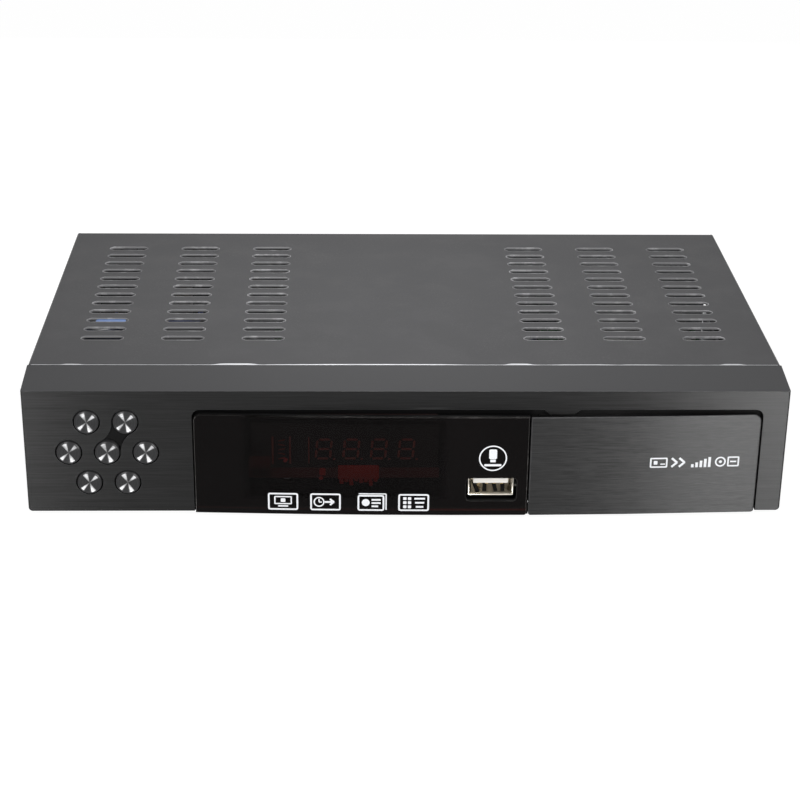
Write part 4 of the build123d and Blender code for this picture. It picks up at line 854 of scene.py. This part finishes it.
def cover():
    """The top cover, with rolled slot rims that stand a little over its painted top."""
    shape = merged("top_cover")
    top = corner_mm("top_cover")[1].z
    rim_width, rim_height = 0.44, 0.14
    rims = []
    for edge in sharp_edges(shape, 50.0):
        flat = all(abs(v.co.z - top) < 0.01 for v in edge.verts)
        if flat and in_slots((edge.verts[0].co + edge.verts[1].co) / 2):
            rims.append(edge)
    # The rims take the light edge colour: a painted highlight along them.
    mark(shape, bevelled(shape, rims, rim_width), 1.0)
    bead = [v for v in shape.verts if top - 0.25 < v.co.z < top - 0.05 and in_slots(v.co)]
    for vert in shape.verts:
        if vert.co.z > top - 0.01:
            vert.co.z -= rim_height
    for vert in bead:
        vert.co.z = top
    walls = []
    for face in shape.faces:
        middle = face.calc_center_median()
        if abs(face.normal.z) < 0.2 and in_slots(middle) and middle.z > top - 1:
            walls.append(face)
    # The slot walls take it too: painted light on the walls.
    mark(shape, walls, 0.95)
    evened(piece("top_cover_finished", shape, "cover_paint", 50, "top_cover"))


def in_slots(place):
    """Whether a place on the cover's top lies in the fields of slots."""
    return abs(place.x) < 112 and FACE_Y + 21 < place.y < REAR_Y - 8


def foil_shred():
    """A shred of blue transport foil that is still caught in one slot."""
    plan = bmesh.new()
    flat_bar(plan, -97.8, -20.07, 10.0, 3.0, 0, 0.9)
    moved(plan, (0, 0, corner_mm("top_cover")[1].z - 0.42))
    looking(plan, UP)
    piece("foil_shred", plan, "cover_paint", finish="blue_foil")


def bright_edge_reach(x):
    """How far the bright strip reaches back from the cover's front edge, at each X."""
    thick = 0.06 + 0.05 * cloud.noise(Vector((0.35 * x, 0.0, 0.0)))
    for middle, reach, more in (
        (-106.0, 3.0, 0.5), (-54.0, 6.5, 1.0), (-38.0, 6.0, 0.18), (-9.0, 25.0, 0.5),
        (36.0, 4.0, 0.95), (57.0, 9.0, 0.3), (75.0, 6.0, 0.22), (104.5, 3.5, 0.8),
    ):
        thick += more * exp(-(((x - middle) / reach) ** 6))
    return thick


def bright_front_edge():
    """The bright metal strip along the front edge of the cover, with a width that varies along X.
    """
    low, high = corner_mm("top_cover")
    half = high.x - 1.1
    shape = bmesh.new()
    bmesh.ops.create_grid(shape, x_segments=240, y_segments=5, size=1.0)
    for vert in shape.verts:
        x = vert.co.x * half
        back = bright_edge_reach(x)
        rows = (
            (-0.05, -0.1 - 0.4 * back), (-0.12, -0.08 - 0.2 * back), (-0.12, -0.06),
            (-0.04, 0.0), (back - 0.08, 0.0), (back, -0.17),
        )
        deep, raised = rows[round((vert.co.y + 1.0) * 2.5)]
        vert.co = (x, low.y + deep, high.z + raised)
    looking(shape, UP)
    piece("cover_front_edge", shape, "hinge_steel", 50, finish="bright_edge_metal")


# -------------------- front


def key_cap(name):
    """One key: a spun cap with a dished face, its square flange and its stem."""
    low, high = corner_mm(name)
    x, z = (low.x + high.x) / 2, (low.z + high.z) / 2
    shape = bmesh.new()
    dished = (
        (0, 0.25), (1.1, 0.22), (2.2, 0.13), (3.2, 0.03), (3.45, 0.0), (3.66, 0.04),
        (3.78, 0.17), (3.8, 0.4), (3.8, 3.0),
    )
    turned(shape, dished, low.y, x, z)
    looking(shape, FRONT)
    map_face(shape, x, z)
    piece(name + "_cap", shape, "key_metal", 40, name)
    root = bmesh.new()
    for half, front, back in ((4.7, high.y - 3.4, high.y - 2.4), (1.8, high.y - 2.6, high.y)):
        solid_bar(root, (x - half, x + half), (front, back), (z - half, z + half), 0.3)
    piece(name + "_root", root, "plunger_plastic", 50, name)


def map_face(shape, x, z):
    """The map turned: each corner's place across the key, round its middle."""
    layer = shape.loops.layers.uv.new("turned")
    for face in shape.faces:
        for corner in face.loops:
            place = corner.vert.co
            corner[layer].uv = (0.5 + (place.x - x) / MAP_SIZE, 0.5 + (place.z - z) / MAP_SIZE)


def window_signs():
    """The four framed signs and the round badge on the window."""
    plan = bmesh.new()
    foot = 4.6
    for left, right, head in (
        (-43.9, -34.3, 10.6), (-30.5, -20.8, 10.6), (-15.5, -7.0, 10.2), (-2.6, 7.2, 10.6),
    ):
        middle = ((left + right) / 2, (foot + head) / 2)
        outlined(plan, flat_bar(plan, *middle, right - left, head - foot, 0, 0.7), 0.55)
    # screen on its stand
    outlined(plan, flat_bar(plan, -39.1, 8.05, 5.6, 2.9, 0, 0.3), 0.42)
    flat_bars(plan, (-39.1, 8.05, 1.5, 1.3, 0, 0.3), (-39.1, 6.0, 3.2, 0.5, 0, 0.15))
    # clock and arrow
    outlined(plan, flat_disc(plan, -27.7, 7.6, 1.75, 24), 0.42)
    flat_bars(
        plan, (-27.7, 8.1, 0.4, 1.1), (-27.25, 7.55, 0.95, 0.4), (-24.6, 7.6, 2.6, 0.62),
        (-23.6, 8.1, 1.7, 0.62, -42), (-23.6, 7.1, 1.7, 0.62, 42),
    )
    # stacked sheets with a disc
    flat_bars(plan, (-10.8, 10.6, 8.6, 0.4), (-6.45, 7.8, 0.4, 5.6))
    flat_disc(plan, -12.9, 7.5, 1.25, 24)
    flat_bars(plan, (-9.6, 8.5, 2.9, 0.6), (-9.6, 7.35, 2.9, 0.6), (-10.0, 6.2, 2.1, 0.6))
    # programme grid
    for row in range(3):
        level = 9.0 - 1.45 * row
        for column in range(2):
            flat_bar(plan, -0.5 + 1.5 * column, level, 1.05, 1.0, 0, 0.15)
        flat_bar(plan, 4.2, level, 3.4 - 0.5 * row, 0.62)
    # badge over the receptacle: a stick and its arrow
    badge = 27.05
    outlined(plan, flat_disc(plan, badge, 23.2, 4.42, 64), 0.42)
    flat_bars(
        plan, (badge, 24.6, 2.5, 3.4, 0, 0.5), (badge, 22.3, 1.7, 0.9),
        (badge, 20.8, 5.4, 0.75, 0, 0.2),
    )
    stood_up(plan, bow_y, -0.03)
    printed("window_prints", plan)


def door_signs():
    """The row of signs on the door: a card, two chevrons, steps and a disc."""
    plan = bmesh.new()
    low, middle = 19.4, 21.2
    outlined(plan, flat_bar(plan, 79.6, middle, 5.6, 3.5, 0, 0.4), 0.5)
    flat_bars(plan, (78.6, middle, 1.2, 1.3, 0, 0.2), (80.9, middle - 0.5, 1.5, 0.4))
    for x in (84.6, 87.0):
        for side in (1, -1):
            flat_bar(plan, x, middle + 0.72 * side, 2.4, 0.72, -42 * side)
    for step in range(5):
        tall = 1.1 + 0.6 * step
        flat_bar(plan, 90.4 + 1.35 * step, low + tall / 2, 0.85, tall)
    outlined(plan, flat_disc(plan, 99.3, middle, 1.75), 0.5)
    flat_disc(plan, 99.3, middle, 0.5, 12)
    outlined(plan, flat_bar(plan, 103.4, middle, 3.8, 3.5, 0, 0.4), 0.5)
    flat_bar(plan, 103.4, middle, 2.0, 0.5)
    stood_up(plan, bow_y, 0.02)
    printed("door_prints", plan, "card_door")


def display_filter():
    """The dark red foil over the display's opening in the carrier."""
    low, high = corner_mm("display_module")
    middle, size = (low + high) / 2, high - low
    plan = bmesh.new()
    flat_bar(plan, middle.x, middle.z, size.x + 7, size.z + 6, 0, 1)
    behind_window("display_filter", plan, 0.03, "display_resin", "filter_foil")


def display_figures():
    """The display's unlit figures, its marks and its bars, as they show through the foil."""
    plan = bmesh.new()
    tilt, low, half = 5.0, 20.5, 3.3
    strokes = ((0, 0), (0, 1), (0, 2), (-1, 0.5), (-1, 1.5), (1, 0.5), (1, 1.5))
    for index in range(4):
        x = -26.2 + 8.72 * index
        for side, level in strokes:
            lean = half * (level - 1) * sin(radians(tilt))
            length, turn = (half - 0.5, 90 - tilt) if side else (3.6, 0)
            place = (x + 2.25 * side + lean, low + half * level)
            flat_bar(plan, *place, length, 0.75, turn, 0.35, 1)
        flat_disc(plan, x + 3.3, low - 0.2, 0.4, 12)
    flat_bars(plan, (-42.3, 23.4, 0.6, 9.6), (-36.8, 23.4, 0.6, 9.6))
    for level in range(5):
        flat_bar(plan, -39.5, 20.6 + 1.55 * level, 2.2, 0.4, 12 * (-1) ** level)
    flat_bar(plan, -30.9, 23.4, 0.4, 9.2)
    behind_window("display_figures", plan, 0.06, "display_resin", "unlit_red")
    # A bright red spot by the figures: painted glow.
    spot = bmesh.new()
    flat_bars(spot, (-38.3, 19.9, 1.5, 1.1, 60, 0.3), (-39.2, 20.6, 1.2, 0.4, 10, 0.1))
    behind_window("display_spot", spot, 0.09, "display_resin", "painted_glow")


def receptacle_details():
    """The receptacle's contacts, and matt black bars on its polished floor: painted shade for the
    dark spring slots.
    """
    low, high = corner_mm("usb_shell")
    middle = (low.x + high.x) / 2
    slots = bmesh.new()
    # Painted shade: flat black bars where the spring slots are.
    for place, lean in ((-4.6, 7), (-1.6, -4), (1.5, 3), (4.2, -5)):
        flat_bar(slots, middle + place, low.y + 4.9, 1.3, 8.2, lean, 0.4)
    moved(slots, (0, 0, low.z + 1.12))
    piece("receptacle_slots", slots, "jack_plastic", finish="matt_black")
    contacts = bmesh.new()
    deep, tall = (low.y + 1.4, low.y + 9), (high.z - 3.75, high.z - 3.6)
    for index in range(4):
        x = middle + (index - 1.5) * 2.4
        solid_bar(contacts, (x - 0.5, x + 0.5), deep, tall, 0.05)
    piece("receptacle_contacts", contacts, "pin_brass", finish="contact_gold")


def indicator_film():
    """Painted glow: a faint red band under the display, and a brighter uneven patch over the
    indicator, for the light of its red lamp.
    """
    band = bmesh.new()
    flat_bars(band, (-19.5, 15.5, 60.0, 3.6, 0, 0.4), (-46.5, 17.6, 7.0, 7.4, 0, 0.4))
    behind_window("film_band", band, 0.045, "lamp_resin", "faint_painted_glow")
    plan = bmesh.new()
    flat_bar(plan, -15.2, 15.7, 13.0, 4.8, 0, 0.3)
    for index, drop in enumerate((2.0, 1.3, 2.5, 1.0, 1.7, 1.4, 2.7, 1.2)):
        place = (-20.6 + 1.55 * index, 13.5 - drop / 2)
        flat_bar(plan, *place, 1.25, drop, 8 * (-1) ** index, 0.2)
    flat_disc(plan, -27.1, 13.6, 0.7, 12)
    flat_bar(plan, -26.6, 15.8, 2.0, 2.6, 0, 0.5)
    behind_window("indicator_film", plan, 0.06, "lamp_resin", "painted_glow")


def gap_ribs():
    """The carrier's narrow ribs behind the gaps at the window's two ends."""
    shape = bmesh.new()
    solid_bar(shape, (38.34, 38.7), (-77.1, -75.3), (3.15, 7.1), 0.05)
    solid_bar(shape, (-67.28, -66.5), (FACE_Y + 0.75, FACE_Y + 2.4), (3.15, 5.4), 0.05)
    piece("gap_ribs", shape, "carrier_plastic", finish="matt_black")


def bay_sign():
    """A card and an arrow printed in pale ink over the slot in the card bay."""
    plan = bmesh.new()
    outlined(plan, flat_bar(plan, 62.0, 24.0, 11.0, 6.6, 0, 0.9), 0.45)
    flat_bars(
        plan, (59.4, 24.4, 2.2, 1.8, 0, 0.4), (71.6, 24.0, 0.5, 4.2),
        (71.05, 22.3, 1.8, 0.5, -45), (72.15, 22.3, 1.8, 0.5, 45),
    )
    laid_on(plan, "front_carrier", -120.0, 0.02)
    printed("bay_print", plan)


# -------------------- rear and underside


def crossed_head(shape, radius, tall, place, up):
    """A pan head with a cross recess, which stands on a place and points up along a direction."""
    earlier = set(shape.verts)
    bmesh.ops.create_grid(shape, x_segments=5, y_segments=5, size=1.0)
    made = [v for v in shape.verts if v not in earlier]
    faces = faces_of(made)
    cross = []
    for face in faces:
        middle = face.calc_center_median()
        if min(abs(middle.x), abs(middle.y)) < 0.1 and middle.length < 0.5:
            cross.append(face)
    step = {0.2: 0.1, 0.6: 0.4, 1.0: 0.64}  # where each line of the grid goes
    for vert in made:
        x, y = (step[round(abs(c), 1)] * (1 if c > 0 else -1) for c in vert.co[:2])
        flat = Vector((x, y, 0)) * radius
        if max(abs(vert.co.x), abs(vert.co.y)) > 0.9:
            flat = flat.normalized() * 0.64 * radius
        vert.co = flat + Vector((0, 0, tall))
    rim = [e for f in faces for e in f.edges if e.is_boundary]
    recess = {"thickness": 0.035 * radius, "depth": -0.55 * tall, "use_even_offset": True}
    bmesh.ops.inset_region(shape, faces=cross, **recess)
    for wide, fall in ((1.35, 0.1), (1.13, 0.28), (1.025, 0.3), (1.0, 0.32)):
        grown = bmesh.ops.extrude_edge_only(shape, edges=rim)["geom"]
        corners = [g for g in grown if isinstance(g, bmesh.types.BMVert)]
        bmesh.ops.scale(shape, vec=(wide, wide, 1), verts=corners)
        moved(shape, (0, 0, -fall * tall), corners)
        rim = [g for g in grown if isinstance(g, bmesh.types.BMEdge)]
    made = [v for v in shape.verts if v not in earlier]
    looking(shape, UP, made)
    rotated(shape, UP.rotation_difference(up).to_matrix(), made)
    moved(shape, place, made)


def cover_screw_heads():
    """The cover's three screws: pan heads with a cross recess on their shanks."""
    high = corner_mm("cover_screws")[1].y
    seat, level = corner_mm("top_cover")[1].y, 42.1
    shank = ((0, 0.3), (1.4, 0.3), (1.4, -5.2), (0.9, -5.9), (0, -5.9))
    shape = bmesh.new()
    for x in (-96.0, 0.0, 108.0):
        crossed_head(shape, 2.6, high - seat, (x, seat, level), REAR)
        turned(shape, shank, seat, x, level, 24)
    piece("cover_screws_finished", shape, "screw_steel", 35, "cover_screws")


def aerial_jacks():
    """The two threaded aerial jacks with their pale insulators."""
    low, high = corner_mm("lnb_jacks")
    end, level = high.y, 19.0
    shoulder = corner_mm("lnb_nuts")[1].y + 0.1 - end
    barrel = [
        (0, -2.0), (0.55, -2.0), (0.62, -0.55), (2.95, -0.55), (3.05, 0), (4.35, 0), (4.5, -0.15),
    ]
    for turn in range(9):
        y = -0.5 - 0.8 * turn
        barrel += [(4.74, y), (4.74, y - 0.14), (4.36, y - 0.36), (4.36, y - 0.5)]
    barrel += [(4.4, shoulder + 0.4), (4.4, shoulder), (5.4, shoulder)]
    barrel += [(5.4, low.y - end), (0, low.y - end)]
    washer = ((0.7, -0.7), (0.7, -0.42), (2.9, -0.42), (2.9, -0.7), (0.7, -0.7))
    shape, pale = bmesh.new(), bmesh.new()
    for x in (71.9, 94.9):
        turned(shape, barrel, end, x, level)
        turned(pale, washer, end, x, level, 32)
    piece("lnb_jacks_finished", shape, SLOT_OF["lnb_jacks"], 35, "lnb_jacks")
    piece("lnb_insulators", pale, "ribbon_plastic", 35, finish="tongue_white")


def picture_and_sound_collars():
    """The coloured collars and the plated sleeves in the three round jacks."""
    face, level = corner_mm("av_jack_block")[1].y, 18.6
    collar = (
        (1.95, -0.3), (1.95, 0.05), (2.05, 0.13), (3.2, 0.13), (3.4, -0.02), (3.45, -0.3),
        (1.95, -0.3),
    )
    sleeve = ((1.45, -2.5), (1.45, 0.2), (1.55, 0.3), (1.8, 0.3), (1.93, 0.2), (1.93, -0.2))
    sleeves = bmesh.new()
    for x, colour in ((-30.4, "jack_yellow"), (-16.4, "jack_white"), (-2.4, "jack_red")):
        ring = bmesh.new()
        turned(ring, collar, face, x, level, 40)
        piece(colour + "_collar", ring, "jack_plastic", 35, finish=colour)
        turned(sleeves, sleeve, face, x, level, 32)
    piece("jack_sleeves", sleeves, "jack_nickel", 35)


def network_contacts():
    """The eight sprung contacts in the network jack."""
    low, high = corner_mm("network_jack")
    middle = (low.x + high.x) / 2
    deep, tall = (57.2, 66.4), (23.1, 23.35)
    shape = bmesh.new()
    for index in range(8):
        x = middle + (index - 3.5) * 1.02
        solid_bar(shape, (x - 0.2, x + 0.2), deep, tall, 0.05)
    rotated(shape, turn_of(20, "X"), centre=(0, deep[1], 23.3))
    piece("network_contacts", shape, "pin_brass", finish="contact_gold")


def rocker_marks():
    """The bar and the ring that mark the rocker's two ends."""
    plan, middle = bmesh.new(), -70.0
    flat_bar(plan, middle, 18.6, 0.6, 3.2)
    outlined(plan, flat_disc(plan, middle, 26.4, 1.7), 0.5)
    laid_on(plan, "power_rocker", 90.0, 0.03)
    printed("rocker_prints", plan, BODY_OF["power_rocker"])


def rubber_feet():
    """The four feet: ridged rubber discs with a screw in the middle of each."""
    rubber, screws = bmesh.new(), bmesh.new()
    ridged = (
        (0, 1.0), (2.7, 1.0), (3.0, 0.3), (3.3, 0), (3.8, 0), (4.0, 0.35), (4.3, 0.35),
        (4.5, 0), (5.4, 0), (5.85, 0.4), (6.0, 1.0), (6.0, 3.0), (0, 3.0),
    )
    turned(rubber, ridged, 0, 0, 0, 40)
    rotated(rubber, turn_of(90, "X"))
    one = [*rubber.verts, *rubber.edges, *rubber.faces]
    for x in (-98.0, 98.0):
        for y in (-48.73, 49.27):
            copied = bmesh.ops.duplicate(rubber, geom=one)["geom"]
            corners = [g for g in copied if isinstance(g, bmesh.types.BMVert)]
            moved(rubber, (x, y, 0), corners)
            crossed_head(screws, 2.3, 0.85, (x, y, 1.02), -UP)
    first = [g for g in one if isinstance(g, bmesh.types.BMVert)]
    bmesh.ops.delete(rubber, geom=first, context="VERTS")
    piece("feet_finished", rubber, "foot_rubber", 35, "feet")
    piece("foot_screws", screws, "screw_steel", 35)


def vented_tops():
    """The scored aluminium tops of the capacitors."""
    shape = bmesh.new()
    for name in ("bulk_capacitor", "board_capacitors"):
        cans = merged(name)
        top = max(v.co.z for v in cans.verts)
        for face in cans.faces:
            middle = face.calc_center_median()
            if face.normal.z > 0.99 and len(face.verts) > 8 and middle.z > top - 8:
                radius = (face.verts[0].co - middle).length
                crossed_head(shape, 0.86 * radius, 0.35, middle - 0.02 * UP, UP)
        cans.free()
    piece("capacitor_tops", shape, "sink_aluminium", 35, finish="cap_aluminium")


def recess_shade_faces(face):
    """Whether a face of the front panel lies behind its front, below its strip and off its ends:
    the recess faces that take painted shade.
    """
    place = face.calc_center_median()
    return place.y > FACE_Y + 0.1 and place.z < 43 and abs(place.x) < 118


def main():
    """Builds all that is seen."""
    bpy.context.scene.view_settings.view_transform = "Standard"
    camera()
    studio()
    dress_nodes()
    cover()
    bright_front_edge()
    foil_shred()
    # The front panel's recess walls are matt black: painted shade in the recesses.
    softened("front_panel", 0.3, 0.3, inner=recess_shade_faces)
    window = softened("display_window", 0.12, inner=lambda face: abs(face.normal.y) < 0.5)
    window.data.transform(Matrix.Translation((0, 0.05 * MM, 0)))
    # The door's top and sides: black plastic, and the matt black there is partly painted shade.
    softened("card_door", 0.12, 0.4, inner=lambda face: face.normal.y > -0.5)
    softened("usb_tongue", 0.1, slot="ribbon_plastic", finish="tongue_white")
    softened("usb_shell", 0.12)
    softened("front_carrier", 0.15)
    softened("rear_panel", 0.12)
    softened("chassis", 0.12)
    for name in (
        "power_switch", "power_rocker", "mains_inlet", "lnb_nuts", "network_jack", "tuner_can",
    ):
        softened(name, 0.2)
    for name in NODES:
        if name.startswith("key_"):
            key_cap(name)
    window_signs()
    door_signs()
    display_filter()
    display_figures()
    receptacle_details()
    indicator_film()
    gap_ribs()
    bay_sign()
    cover_screw_heads()
    aerial_jacks()
    picture_and_sound_collars()
    network_contacts()
    rocker_marks()
    rubber_feet()
    vented_tops()
    gloss_on_front()


main()
